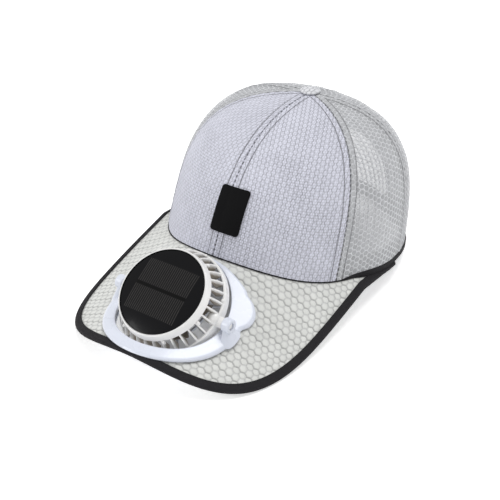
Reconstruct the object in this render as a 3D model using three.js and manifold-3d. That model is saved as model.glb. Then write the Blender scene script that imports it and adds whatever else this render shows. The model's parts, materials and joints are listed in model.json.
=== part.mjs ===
// Solar fan hat: a six-panel mesh cap whose stiff peak carries a tilting, solar powered fan.
// Millimetres, +Z up. Forward is -Y and the wearer's left is +X. The pieces are made as the hat is worn,
// with a level hem and with z = 0 at the lowest corners of the peak. The hat is then leaned back on
// those corners until the back of its hem meets the same plane, as it stands on a table.

import * as THREE from 'three';
import { mergeVertices } from 'three/addons/utils/BufferGeometryUtils.js';
import Module from 'manifold-3d';

const wasm = await Module();
wasm.setup();

// Gaps between pieces that touch.
const SEAT_GAP = 0.3;
const SEAM_GAP = 0.3;
const PEAK_JOINT_GAP = 0.65;
const BAND_GAP = 0.45;

// Crown: the cloth dome over the head, measured on its outer face.
const CROWN_HALF_WIDTH = 94;
const CROWN_FRONT = 91;
const CROWN_BACK = 98.5;
const CROWN_HEIGHT = 137;
const APEX_BACK = 31;
const CROWN_PLAN_POWER = 1.89;
const CROWN_WAIST = 0.065;
const CLOTH_THICKNESS = 1.5;
const SEAM_SIDE_ANGLE = 57;
const SEAM_BACK_ANGLE = 102;
const PANEL_PUFF = 1.6;
const TIP_RADIUS = 4.5;
const PANEL_ROWS = 10;
const DEGREES_PER_COLUMN = 10;

// Outline of the crown seen from the side and the front: how square it is and how far it flares upward.
const CROWN_PROFILES = {
  side: { power: 2.45, flare: 0.217 },
  front: { power: 2.38, flare: 0.135 },
  back: { power: 2.0, flare: -0.122 },
};

// Soft folds that run down from the button: bearing in degrees from the front, towards the wearer's left,
// where each starts and ends as shares of the crown's height, its half width in degrees, and its depth as a
// share of the crown's half width.
const FOLDS = [
  { bearing: 118, from: 0.62, to: 0.99, spread: 7, depth: 0.012 },
  { bearing: 139, from: 0.52, to: 0.98, spread: 8, depth: 0.016 },
  { bearing: 160, from: 0.60, to: 0.98, spread: 7, depth: 0.012 },
  { bearing: -124, from: 0.56, to: 0.98, spread: 8, depth: 0.014 },
  { bearing: -150, from: 0.60, to: 0.98, spread: 8, depth: 0.012 },
  { bearing: 88, from: 0.20, to: 0.66, spread: 8, depth: 0.012 },
];

// Button on the apex.
const BUTTON_RADIUS = 7.5;
const BUTTON_HEIGHT = 3.6;

// Hem band: tape inside the crown's lower edge, with a lip under the edge.
const BAND_THICKNESS = 1;
const BAND_HEIGHT = 14;
const LIP_HEIGHT = 0.8;
const LIP_PROUD = 0.2;
const HEM_REST_ANGLE = 150;
const HEM_BACK_HEIGHT = 28;

// Arch opening at the back of the crown, and the strap across its foot.
const ARCH_HALF_WIDTH = 40;
const ARCH_TOP = 88;
const STRAP_HEIGHT = 14;
const STRAP_THICKNESS = 1.5;
const STRAP_OVERLAP = 30;

// Patch on the front of the crown.
const PATCH_WIDTH = 23.5;
const PATCH_LENGTH = 34;
const PATCH_THICKNESS = 1.2;
const PATCH_CORNER = 2.6;
const PATCH_FOOT = 18.5;
const PATCH_ASIDE = 4;

// Peak: the stiff brim. It droops forward and arches across.
const PEAK_REACH = 93;
const PEAK_SIDE_STEP = 1.3;
const PEAK_END_BACK = 8;
const PEAK_END_ANGLE = 94;
const PEAK_SIDE_POWER = 2.35;
const PEAK_FRONT_POWER = 6;
const PEAK_SLOPE = 0.411;
const PEAK_LEVELLING = 0.069;
const PEAK_ARCH_RADIUS = 79.4;
const PEAK_ARCH_OPENING = 0.279;
const PEAK_ARCH_FLATTENING = 0.384;
const PEAK_THICKNESS = 1.6;
const PEAK_COLUMNS = 40;
const PEAK_ROWS = 6;
const OUTLINE_STEPS = 400;

// Binding: tape folded round the peak's outer edge.
const TAPE_THICKNESS = 0.7;
const TAPE_WIDTH = 5.2;

// Fan seat: where the fan lies on the peak, and the hole for it.
const FAN_AHEAD = 44;
const FAN_TILT = 37.6;
const HOLE_RADIUS = 41.8;
const PEAK_HOLE_CLEARANCE = 1;

// Base plate on top of the peak and clamp ring below it.
const PLATE_RADIUS = 52.3;
const PLATE_SHIFT = 1.6;
const PLATE_THICKNESS = 2.1;
const PLATE_EDGE_DROP = 1.2;
const PLATE_HEM_CLEARANCE = 2.5;
const PLATE_BACK_ARC = 108;
const LOBE_SIDE = 40.5;
const LOBE_BACK = 20.5;
const LOBE_RADIUS = 13.8;
const CLAMP_RADIUS = 50;
const CLAMP_THICKNESS = 1.5;
const EAR_RADIUS = 5.2;
const EAR_LENGTH = 9.5;
const EAR_FOOT = 8.5;
const PLATE_COLUMNS = 44;

// Solar panel and the housing under it. Heights are along the fan's axis from the pivot axis.
const PANEL_RADIUS = 31.8;
const PANEL_THICKNESS = 3.6;
const PANEL_TOP = 21.2;
const PANEL_CHAMFER = 0.8;
const BEZEL_WIDTH = 1.2;
const BEZEL_CHAMFER = 0.3;
const PANEL_PROUD = 1.5;
const DECK_THICKNESS = 2.2;
const SKIRT_DEPTH = 6;
const SKIRT_FLARE = 1.4;
const SKIRT_WALL = 1.7;

// Outer ring, ribs and pivots of the housing. The ring runs clear of the hole at every tilt.
const RING_CLEARANCE = 0.8;
const RING_WIDTH = 1.8;
const RING_TOP = 3.8;
const RING_BOTTOM = 3.4;
const RIB_COUNT = 32;
const RIB_THICKNESS = 1.5;
const RIB_DEPTH = 3.6;
const RIB_OVERLAP = 1.5;
const RIB_BULGE = 1.1;
const PIVOT_RADIUS = 2.2;
const PIVOT_CLEARANCE = 0.35;
const PIVOT_RECESS = 1.2;
const BOSS_RADIUS = 5;
const BOSS_LENGTH = 2;

// Motor, impeller and outlet grille.
const MOTOR_RADIUS = 9.5;
const MOTOR_HEIGHT = 10;
const SHAFT_RADIUS = 1.1;
const SHAFT_CLEARANCE = 0.3;
const SHAFT_SEAT = 4;
const HUB_CLEARANCE = 0.9;
const HUB_WALL = 1.4;
const HUB_HEIGHT = 10;
const HUB_FLOOR = 1.5;
const BLADE_COUNT = 7;
const BLADE_TIP_CLEARANCE = 2.5;
const BLADE_CHORD = 14;
const BLADE_HEIGHT = 8;
const BLADE_THICKNESS = 1.2;
const OUTLET_THICKNESS = 1.8;
const OUTLET_RUNNING_GAP = 0.9;
const OUTLET_HUB_RADIUS = 11;
const OUTLET_RING_RADIUS = 25;
const OUTLET_BAR = 1.6;
const OUTLET_SPOKES = 10;

const ROUND_SEGMENTS = 32;
const SMALL_SEGMENTS = 16;

const COLOURS = {
  frontMesh: 0xc9c9d6,
  sideMesh: 0xc3c7c6,
  peakMesh: 0xd3d5cd,
  tape: 0x2f2d32,
  rubber: 0x1b1c1f,
  whitePlastic: 0xf3f4f7,
  greyPlastic: 0xd8d4cf,
  solar: 0x101114,
  metal: 0x9a9b9e,
};

const rad = THREE.MathUtils.degToRad;
const lerp = THREE.MathUtils.lerp;
const vec = (x, y, z) => new THREE.Vector3(x, y, z);
const smooth = (value, from, to) => THREE.MathUtils.smoothstep(value, from, to);
const bow = (value, power) => Math.sign(value) * Math.abs(value) ** (2 / power);

// Closed mesh from points and triangles, turned so that its faces point out.
function solid(points, triangles) {
  let volume = 0;
  for (const [a, b, c] of triangles) {
    volume += points[a].dot(points[b].clone().cross(points[c]));
  }
  const faces = volume < 0 ? triangles.map(([a, b, c]) => [a, c, b]) : triangles;
  const geometry = new THREE.BufferGeometry();
  geometry.setAttribute('position', new THREE.Float32BufferAttribute(points.flatMap((p) => p.toArray()), 3));
  geometry.setIndex(faces.flat());
  return geometry;
}

// Sheet of cloth or plate: two faces given over u and v from 0 to 1, closed along their edges.
// With ring set, the sheet closes on itself along u.
function sheet(columns, rows, upper, lower, ring = false) {
  const across = ring ? columns : columns + 1;
  const points = [];
  for (const face of [upper, lower]) {
    for (let j = 0; j <= rows; j++) {
      for (let i = 0; i < across; i++) {
        points.push(face(i / columns, j / rows));
      }
    }
  }
  const layer = across * (rows + 1);
  const at = (i, j, side) => side * layer + j * across + (i % across);
  const triangles = [];
  const quad = (a, b, c, d) => triangles.push([a, b, c], [a, c, d]);
  for (let j = 0; j < rows; j++) {
    for (let i = 0; i < columns; i++) {
      quad(at(i, j, 0), at(i + 1, j, 0), at(i + 1, j + 1, 0), at(i, j + 1, 0));
      quad(at(i, j, 1), at(i, j + 1, 1), at(i + 1, j + 1, 1), at(i + 1, j, 1));
    }
  }
  for (let i = 0; i < columns; i++) {
    quad(at(i, 0, 0), at(i, 0, 1), at(i + 1, 0, 1), at(i + 1, 0, 0));
    quad(at(i, rows, 0), at(i + 1, rows, 0), at(i + 1, rows, 1), at(i, rows, 1));
  }
  if (!ring) {
    for (let j = 0; j < rows; j++) {
      quad(at(0, j, 0), at(0, j + 1, 0), at(0, j + 1, 1), at(0, j, 1));
      quad(at(columns, j, 0), at(columns, j, 1), at(columns, j + 1, 1), at(columns, j + 1, 0));
    }
  }
  return solid(points, triangles);
}

// Solid swept along a path: section(u) gives the corners of its cross-section in order.
// The caps use one triangulation of the section's flat shape.
function sweep(stations, section, flatShape) {
  const corners = flatShape.length;
  const points = [];
  for (let i = 0; i <= stations; i++) {
    points.push(...section(i / stations));
  }
  const triangles = [];
  for (let i = 0; i < stations; i++) {
    for (let k = 0; k < corners; k++) {
      const next = (k + 1) % corners;
      const a = i * corners + k;
      const b = i * corners + next;
      triangles.push([a, b, b + corners], [a, b + corners, a + corners]);
    }
  }
  const flat = flatShape.map(([x, y]) => new THREE.Vector2(x, y));
  const turn = Math.sign(THREE.ShapeUtils.area(flat));
  for (const [a, b, c] of THREE.ShapeUtils.triangulateShape(flat, [])) {
    const face = turn > 0 ? [a, b, c] : [a, c, b];
    const wound = signedArea(flat, face) * turn > 0 ? face : [face[0], face[2], face[1]];
    triangles.push([wound[0], wound[2], wound[1]]);
    triangles.push(wound.map((k) => k + stations * corners));
  }
  return solid(points, triangles);
}

function signedArea(flat, [a, b, c]) {
  return THREE.ShapeUtils.area([flat[a], flat[b], flat[c]]);
}

// Turned solid from a closed profile of [radius, height] pairs.
function turned(profile, segments) {
  const points = profile.map(([radius, height]) => new THREE.Vector2(radius, height));
  const lathe = new THREE.LatheGeometry(points, segments);
  lathe.rotateX(Math.PI / 2);
  return welded(lathe);
}

// One closed mesh with merged corners and outward faces.
function welded(geometry) {
  const bare = geometry.clone();
  bare.deleteAttribute('normal');
  bare.deleteAttribute('uv');
  const merged = mergeVertices(bare, 1e-4);
  const position = merged.getAttribute('position');
  const points = [];
  for (let i = 0; i < position.count; i++) {
    points.push(new THREE.Vector3().fromBufferAttribute(position, i));
  }
  const index = merged.getIndex().array;
  const triangles = [];
  for (let i = 0; i < index.length; i += 3) {
    const [a, b, c] = [index[i], index[i + 1], index[i + 2]];
    if (a !== b && b !== c && c !== a) {
      triangles.push([a, b, c]);
    }
  }
  return solid(points, triangles);
}

function toManifold(geometry) {
  const clean = welded(geometry);
  return new wasm.Manifold(new wasm.Mesh({
    numProp: 3,
    vertProperties: new Float32Array(clean.getAttribute('position').array),
    triVerts: new Uint32Array(clean.getIndex().array),
  }));
}

function fromManifold(body) {
  const mesh = body.getMesh();
  const geometry = new THREE.BufferGeometry();
  geometry.setAttribute('position', new THREE.BufferAttribute(new Float32Array(mesh.vertProperties), 3));
  geometry.setIndex(Array.from(mesh.triVerts));
  return geometry;
}

const join = (pieces) => fromManifold(pieces.map(toManifold).reduce((whole, piece) => whole.add(piece)));

function cut(geometry, tools) {
  return fromManifold(tools.map(toManifold).reduce((whole, tool) => whole.subtract(tool), toManifold(geometry)));
}

// Cylinder along X from one x to another, about the line y, z.
function crossPin(radius, fromX, toX, y, z) {
  const pin = new THREE.CylinderGeometry(radius, radius, Math.abs(toX - fromX), SMALL_SEGMENTS);
  pin.rotateZ(Math.PI / 2);
  pin.translate((fromX + toX) / 2, y, z);
  return pin;
}

// PEAK SURFACE: height of the peak's upper face below its root.
function peakRelief(x, y) {
  const ahead = Math.max(-y - CROWN_FRONT, -PEAK_REACH * 0.6);
  const share = ahead / PEAK_REACH;
  const opening = 1 - PEAK_ARCH_OPENING * THREE.MathUtils.clamp(share, -0.7, 1);
  const flattening = 1 - PEAK_ARCH_FLATTENING * (x / peakHalfWidth()) ** 2;
  const arch = (x * x / (2 * PEAK_ARCH_RADIUS)) * opening * flattening;
  return -PEAK_SLOPE * ahead + PEAK_LEVELLING * PEAK_REACH * Math.max(share, 0) ** 2 - arch;
}

function peakHalfWidth() {
  return CROWN_HALF_WIDTH + PEAK_SIDE_STEP;
}

// Outer edge of the peak in plan, as evenly spaced stops from its right end over the front to its left end.
function peakStops() {
  const depth = CROWN_FRONT + PEAK_REACH + PEAK_END_BACK;
  const fine = [];
  for (let i = 0; i <= OUTLINE_STEPS; i++) {
    const turn = Math.PI * (i / OUTLINE_STEPS - 0.5);
    fine.push(vec(peakHalfWidth() * bow(Math.sin(turn), PEAK_SIDE_POWER),
      PEAK_END_BACK - depth * bow(Math.cos(turn), PEAK_FRONT_POWER), 0));
  }
  const path = new THREE.CurvePath();
  for (let i = 0; i < OUTLINE_STEPS; i++) {
    path.add(new THREE.LineCurve3(fine[i], fine[i + 1]));
  }
  return path.getSpacedPoints(PEAK_COLUMNS);
}

const PEAK_STOPS = peakStops();

// Point at a distance inside the outline, at one of its stops.
function insideOutline(stop, inset) {
  const before = PEAK_STOPS[Math.max(stop - 1, 0)];
  const after = PEAK_STOPS[Math.min(stop + 1, PEAK_COLUMNS)];
  const run = after.clone().sub(before).normalize();
  const atEnd = stop === 0 || stop === PEAK_COLUMNS;
  const inward = atEnd ? vec(-Math.sign(PEAK_STOPS[stop].x), 0, 0) : vec(-run.y, run.x, 0);
  return PEAK_STOPS[stop].clone().addScaledVector(inward, inset);
}

// The peak's lowest corners, with the binding round them, stand on z = 0.
function peakRootHeight() {
  const lowest = Math.min(...PEAK_STOPS.map((stop) => peakRelief(stop.x, stop.y)));
  return PEAK_THICKNESS + SEAT_GAP + TAPE_THICKNESS - lowest;
}

const PEAK_ROOT = peakRootHeight();
const peakTop = (x, y) => PEAK_ROOT + peakRelief(x, y);

// HEM: the crown's lower edge. Bearings run from the front, positive to the wearer's left.
function hemPlan(bearing) {
  const along = Math.cos(bearing);
  const reach = along > 0 ? CROWN_FRONT : CROWN_BACK;
  return vec(CROWN_HALF_WIDTH * bow(Math.sin(bearing), CROWN_PLAN_POWER),
    -reach * bow(along, CROWN_PLAN_POWER), 0);
}

function hemOutward(bearing) {
  const step = 0.01;
  const run = hemPlan(bearing + step).sub(hemPlan(bearing - step));
  return vec(run.y, -run.x, 0).normalize();
}

// Slope of the plane that the hat stands on: through the back of the hem and under the binding's corners.
function restSlope() {
  const under = PEAK_THICKNESS + SEAT_GAP + TAPE_THICKNESS;
  const slopes = PEAK_STOPS.map(({ x, y }) => (HEM_BACK_HEIGHT - peakTop(x, y) + under) / (CROWN_BACK - y));
  return Math.max(...slopes);
}

const REST_SLOPE = restSlope();
const restHeight = (y) => HEM_BACK_HEIGHT + REST_SLOPE * (y - CROWN_BACK);

// Height of the hem at a depth inside the crown's outer face. It follows the peak, and comes down to the
// resting plane at the back.
function hemHeight(bearing, depth = 0) {
  const inside = (turn) => hemPlan(turn).addScaledVector(hemOutward(turn), -depth);
  const turn = Math.min(Math.abs(bearing), rad(PEAK_END_ANGLE)) * (Math.sign(bearing) || 1);
  const front = inside(turn);
  const fall = smooth(Math.abs(bearing), rad(PEAK_END_ANGLE), rad(HEM_REST_ANGLE));
  return lerp(peakTop(front.x, front.y) + PEAK_JOINT_GAP, restHeight(inside(bearing).y), fall);
}

// CROWN SURFACE: point on the outer face at a bearing and a share of the height.
function crownBase(bearing, share) {
  const along = Math.cos(bearing);
  const ends = along > 0 ? CROWN_PROFILES.front : CROWN_PROFILES.back;
  const reach = along > 0 ? CROWN_FRONT : CROWN_BACK;
  const waist = 1 - CROWN_WAIST * 4 * share * (1 - share);
  const round = (profile) => (1 + profile.flare * share) * waist
    * Math.max(1 - Math.max(share, 0) ** profile.power, 0) ** (1 / profile.power);
  const foot = hemHeight(bearing);
  return vec(CROWN_HALF_WIDTH * round(CROWN_PROFILES.side) * bow(Math.sin(bearing), CROWN_PLAN_POWER),
    APEX_BACK * share - reach * round(ends) * bow(along, CROWN_PLAN_POWER),
    lerp(foot, CROWN_HEIGHT, share));
}

function crownNormal(bearing, share) {
  const step = 0.004;
  const run = crownBase(bearing + step, share).sub(crownBase(bearing - step, share));
  const rise = crownBase(bearing, share + step / 2).sub(crownBase(bearing, share - step / 2));
  return run.cross(rise).normalize();
}

const SEAMS = [-180, -SEAM_BACK_ANGLE, -SEAM_SIDE_ANGLE, 0, SEAM_SIDE_ANGLE, SEAM_BACK_ANGLE, 180].map(rad);

// How far the cloth stands out of the plain surface: panels puff between seams, and folds sink.
function crownRelief(bearing, share) {
  const next = SEAMS.findIndex((seam) => bearing <= seam + 1e-9);
  const [low, high] = [SEAMS[Math.max(next - 1, 0)], SEAMS[Math.max(next, 1)]];
  const across = (bearing - low) / (high - low);
  const lift = PANEL_PUFF * 4 * across * (1 - across) * Math.sin(Math.PI * THREE.MathUtils.clamp(share, 0, 1));
  let sink = 0;
  for (const fold of FOLDS) {
    const reach = Math.sin(Math.PI * THREE.MathUtils.clamp((share - fold.from) / (fold.to - fold.from), 0, 1));
    const off = (bearing - rad(fold.bearing)) / rad(fold.spread);
    sink += CROWN_HALF_WIDTH * fold.depth * reach * Math.exp(-off * off);
  }
  return lift - sink;
}

function crownPoint(bearing, share, depth) {
  const out = crownRelief(bearing, share) - depth;
  return crownBase(bearing, share).addScaledVector(crownNormal(bearing, share), out);
}

// Point of the wall at a set height and depth, found by stepping up or down the wall.
function wallAtHeight(bearing, height, depth) {
  const foot = hemHeight(bearing);
  let share = (height - foot) / (CROWN_HEIGHT - foot);
  for (let pass = 0; pass < 6; pass++) {
    share += (height - crownPoint(bearing, share, depth).z) / (CROWN_HEIGHT - foot);
  }
  return crownPoint(bearing, share, depth);
}

// Share of the height where the panels' tips end under the button.
function tipShare() {
  const { power, flare } = CROWN_PROFILES.side;
  return (1 - (TIP_RADIUS / (CROWN_HALF_WIDTH * (1 + flare))) ** power) ** (1 / power);
}

// Rows crowd towards the apex, where the wall turns over.
function rowShare(v) {
  const { power } = CROWN_PROFILES.side;
  const last = Math.asin(tipShare() ** (power / 2));
  return Math.sin(last * v) ** (2 / power);
}

// Bottom edge of the cloth: it stands on the hem band's lip.
const clothFoot = (bearing, depth) => hemHeight(bearing, depth) + LIP_HEIGHT + SEAT_GAP;

const columnsBetween = (from, to) => Math.max(3, Math.round((to - from) / rad(DEGREES_PER_COLUMN)));

// One crown panel between two seams.
function crownPanel(from, to) {
  const columns = columnsBetween(from, to);
  const face = (depth) => (u, v) => {
    const share = rowShare(v);
    const inset = (seam) => {
      const step = 0.01;
      const run = crownBase(seam + step, share).distanceTo(crownBase(seam - step, share)) / (2 * step);
      return SEAM_GAP / 2 / run;
    };
    const bearing = lerp(from + inset(from), to - inset(to), u);
    return v === 0 ? wallAtHeight(bearing, clothFoot(bearing, depth), depth) : crownPoint(bearing, share, depth);
  };
  return sheet(columns, PANEL_ROWS, face(0), face(CLOTH_THICKNESS));
}

// Arch cut through the back of the crown.
function archCutter() {
  const arch = new THREE.Shape();
  const straight = ARCH_TOP - ARCH_HALF_WIDTH;
  const below = 0;
  arch.moveTo(-ARCH_HALF_WIDTH, below);
  arch.lineTo(ARCH_HALF_WIDTH, below);
  arch.lineTo(ARCH_HALF_WIDTH, straight);
  arch.absarc(0, straight, ARCH_HALF_WIDTH, 0, Math.PI, false);
  arch.closePath();
  const block = new THREE.ExtrudeGeometry(arch, { depth: CROWN_BACK, bevelEnabled: false, curveSegments: 16 });
  block.rotateX(Math.PI / 2);
  block.translate(0, CROWN_BACK * 1.5, 0);
  return block;
}

function backPanel(from, to) {
  return cut(crownPanel(from, to), [archCutter()]);
}

// Bearing at which the arch meets the hem.
function archBearing() {
  return Math.PI - Math.asin((ARCH_HALF_WIDTH / CROWN_HALF_WIDTH) ** (CROWN_PLAN_POWER / 2));
}

// Bearings of all the panels' columns, once round from the middle of the back.
function columnBearings() {
  const stops = [];
  for (let k = 1; k < SEAMS.length; k++) {
    const columns = columnsBetween(SEAMS[k - 1], SEAMS[k]);
    for (let i = 0; i < columns; i++) {
      stops.push(lerp(SEAMS[k - 1], SEAMS[k], i / columns));
    }
  }
  return stops;
}

// Those of the hem band: up to the first column on each side that lies behind the arch's edge.
function bandBearings() {
  const stops = columnBearings();
  const inside = stops.filter((stop) => Math.abs(stop) < archBearing());
  const [first, last] = [inside[0], inside[inside.length - 1]];
  return [stops[stops.indexOf(first) - 1], ...inside, stops[stops.indexOf(last) + 1]];
}

// Those of the strap: across the back, and as far along the band on each side as the overlap.
function strapBearings() {
  const stops = columnBearings().map((stop) => (stop <= 0 ? stop + 2 * Math.PI : stop)).sort((a, b) => a - b);
  const reach = Math.PI - archBearing() + STRAP_OVERLAP / CROWN_HALF_WIDTH;
  const inside = stops.filter((stop) => Math.abs(stop - Math.PI) < reach);
  return inside.map((stop) => (stop > Math.PI ? stop - 2 * Math.PI : stop));
}

// Hem band: a leg up the inside of the wall and a lip under the cloth's edge.
function hemBand() {
  const bearings = bandBearings();
  const outer = CLOTH_THICKNESS + BAND_GAP;
  const inner = outer + BAND_THICKNESS;
  const section = (u) => {
    const bearing = bearings[Math.round(u * (bearings.length - 1))];
    const legAt = (rise, depth) => wallAtHeight(bearing, hemHeight(bearing, depth) + rise, depth);
    return [legAt(0, -LIP_PROUD), legAt(0, inner), legAt(BAND_HEIGHT / 2, inner), legAt(BAND_HEIGHT, inner),
      legAt(BAND_HEIGHT, outer), legAt(BAND_HEIGHT / 2, outer), legAt(LIP_HEIGHT, outer),
      legAt(LIP_HEIGHT, -LIP_PROUD)];
  };
  const flat = [[-LIP_PROUD, 0], [inner, 0], [inner, BAND_HEIGHT / 2], [inner, BAND_HEIGHT],
    [outer, BAND_HEIGHT], [outer, BAND_HEIGHT / 2], [outer, LIP_HEIGHT], [-LIP_PROUD, LIP_HEIGHT]];
  return cut(sweep(bearings.length - 1, section, flat), [archCutter()]);
}

// Strap across the arch, inside the hem band at both ends.
function rearStrap() {
  const bearings = strapBearings();
  const columns = bearings.length - 1;
  const start = CLOTH_THICKNESS + BAND_THICKNESS + 2 * BAND_GAP;
  const face = (depth) => (u, v) => {
    const bearing = bearings[Math.round(u * columns)];
    const point = wallAtHeight(bearing, hemHeight(bearing, depth) + STRAP_HEIGHT * v, depth);
    point.z = restHeight(point.y) + STRAP_HEIGHT * v;
    return point;
  };
  return sheet(columns, 2, face(start), face(start + STRAP_THICKNESS));
}

// Button: a low dome over the panels' tips.
function topButton() {
  const foot = PANEL_PUFF / 4 + SEAT_GAP;
  const rim = BUTTON_HEIGHT / 4;
  const steps = 5;
  const profile = [[0, foot], [BUTTON_RADIUS - rim, foot], [BUTTON_RADIUS, foot + rim]];
  for (let i = 1; i <= steps; i++) {
    const turn = (Math.PI / 2) * (i / steps);
    profile.push([BUTTON_RADIUS * Math.cos(turn), foot + rim + (BUTTON_HEIGHT - rim) * Math.sin(turn)]);
  }
  profile[profile.length - 1][0] = 0;
  const dome = turned(profile, SMALL_SEGMENTS);
  dome.translate(0, APEX_BACK, CROWN_HEIGHT);
  return dome;
}

// Patch: a rectangle with round corners laid on the front of the crown.
function frontPatch() {
  const rows = 8;
  const columns = 5;
  const spread = (share) => (share - 0.5) * 2;
  const face = (depth) => (u, v) => {
    const along = PATCH_LENGTH * v;
    const edge = Math.min(along, PATCH_LENGTH - along);
    const bite = edge < PATCH_CORNER
      ? PATCH_CORNER - Math.sqrt(Math.max(PATCH_CORNER ** 2 - (PATCH_CORNER - edge) ** 2, 0))
      : 0;
    const x = PATCH_ASIDE + spread(u) * (PATCH_WIDTH / 2 - bite);
    return onFront(x, PATCH_FOOT + along, depth);
  };
  return sheet(columns, rows, face(-SEAT_GAP - PATCH_THICKNESS), face(-SEAT_GAP));
}

// Point on the crown's front at a sideways distance and a length up the front seam.
function onFront(x, length, depth) {
  const step = 0.005;
  let share = 0;
  let run = 0;
  let last = crownBase(0, 0);
  while (run < length) {
    share += step;
    const next = crownBase(0, share);
    run += next.distanceTo(last);
    last = next;
  }
  share -= step * (run - length) / crownBase(0, share).distanceTo(crownBase(0, share - step));
  const girth = crownBase(rad(90), share).x;
  const bearing = Math.asin(Math.abs(x / girth) ** (CROWN_PLAN_POWER / 2)) * Math.sign(x);
  return crownPoint(bearing, share, depth);
}

// PEAK: a thin plate from under the hem band to the outline. Its last row lies under the binding.
function peakBoard() {
  const tuck = CLOTH_THICKNESS + BAND_GAP + BAND_THICKNESS;
  const face = (drop) => (u, v) => {
    const stop = Math.round(u * PEAK_COLUMNS);
    const bearing = rad(lerp(-PEAK_END_ANGLE, PEAK_END_ANGLE, u));
    const root = hemPlan(bearing).addScaledVector(hemOutward(bearing), -tuck);
    const step = insideOutline(stop, Math.max(tapeWidth(stop), TAPE_THICKNESS + 2 * SEAT_GAP));
    const row = v * PEAK_ROWS;
    const edge = insideOutline(stop, TAPE_THICKNESS + SEAT_GAP);
    const { x, y } = v < 1 ? root.lerp(step, row / (PEAK_ROWS - 1)) : edge;
    return vec(x, y, peakTop(x, y) - drop);
  };
  const board = sheet(PEAK_COLUMNS, PEAK_ROWS, face(0), face(PEAK_THICKNESS));
  return cut(board, [fanBore(HOLE_RADIUS + PEAK_HOLE_CLEARANCE)]);
}

// Binding: tape over, round and under the peak's edge, narrowing where the crown's side comes close.
function peakBinding() {
  const top = SEAT_GAP + TAPE_THICKNESS;
  const under = -PEAK_THICKNESS - SEAT_GAP;
  const section = (u) => {
    const stop = Math.round(u * PEAK_COLUMNS);
    const width = tapeWidth(stop);
    const at = (inset, rise) => {
      const { x, y } = insideOutline(stop, inset);
      return vec(x, y, peakTop(x, y) + rise);
    };
    return [at(width, top), at(0, top), at(0, under - TAPE_THICKNESS), at(width, under - TAPE_THICKNESS),
      at(width, under), at(TAPE_THICKNESS, under), at(TAPE_THICKNESS, SEAT_GAP), at(width, SEAT_GAP)];
  };
  const flat = [[0, top], [TAPE_WIDTH, top], [TAPE_WIDTH, under - TAPE_THICKNESS], [0, under - TAPE_THICKNESS],
    [0, under], [TAPE_WIDTH - TAPE_THICKNESS, under], [TAPE_WIDTH - TAPE_THICKNESS, SEAT_GAP], [0, SEAT_GAP]];
  return sweep(PEAK_COLUMNS, section, flat);
}

// Tape width at a stop: full in front, limited near the ends by the room beside the hem band's lip.
function tapeWidth(stop) {
  let room = Infinity;
  for (let i = 0; i <= OUTLINE_STEPS; i++) {
    const foot = hemPlan(Math.PI * (2 * i / OUTLINE_STEPS - 1));
    room = Math.min(room, foot.distanceTo(PEAK_STOPS[stop]));
  }
  return THREE.MathUtils.clamp(room - LIP_PROUD - SEAT_GAP, TAPE_THICKNESS + SEAT_GAP / 2, TAPE_WIDTH);
}

// FAN SEAT: the fan's centre on the peak, the slope there, and the pivot axis along X through it.
const FAN_Y = -(CROWN_FRONT + FAN_AHEAD);
const PIVOT_HEIGHT = peakTop(0, FAN_Y);
const SEAT_SLOPE = Math.atan((peakTop(0, FAN_Y + 1) - peakTop(0, FAN_Y - 1)) / 2);
const SEAT_NORMAL = vec(0, -Math.sin(SEAT_SLOPE), Math.cos(SEAT_SLOPE));

// Cylinder square to the seat, through the fan's centre.
function fanBore(radius) {
  const bore = new THREE.CylinderGeometry(radius, radius, 2 * PEAK_REACH, PLATE_COLUMNS);
  bore.rotateX(Math.PI / 2 + SEAT_SLOPE);
  bore.translate(0, FAN_Y, PIVOT_HEIGHT);
  return bore;
}

// Point on the seat at polar coordinates in its plane, laid on the arched peak and raised square to it.
function onSeat(radius, bearing, rise) {
  const x = radius * Math.cos(bearing);
  const y = FAN_Y + radius * Math.sin(bearing) * Math.cos(SEAT_SLOPE);
  return vec(x, y, peakTop(x, y)).addScaledVector(SEAT_NORMAL, rise);
}

// Distance along a ray from the seat's centre to a circle around (cx, cy), or 0 where it misses.
function rayToCircle(bearing, cx, cy, radius) {
  const along = cx * Math.cos(bearing) + cy * Math.sin(bearing);
  const inside = along * along - (cx * cx + cy * cy - radius * radius);
  return inside > 0 ? along + Math.sqrt(inside) : 0;
}

// The flange is a circle, cut back along a shallow arc where the crown stands behind it.
function backEdge(bearing) {
  const back = (FAN_AHEAD - PLATE_HEM_CLEARANCE) / Math.cos(SEAT_SLOPE);
  return rayToCircle(bearing, 0, back - PLATE_BACK_ARC, PLATE_BACK_ARC);
}

function plateOutline(bearing) {
  const lobe = rayToCircle(bearing, LOBE_SIDE * (Math.sign(Math.cos(bearing)) || 1), LOBE_BACK, LOBE_RADIUS);
  const circle = rayToCircle(bearing, 0, PLATE_SHIFT, PLATE_RADIUS);
  return Math.min(Math.max(circle, lobe), backEdge(bearing));
}

// The plate and the clamp ring both lie clear of the binding that they overlap in front.
const SEAT_RISE = 2 * SEAT_GAP + TAPE_THICKNESS;

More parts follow.
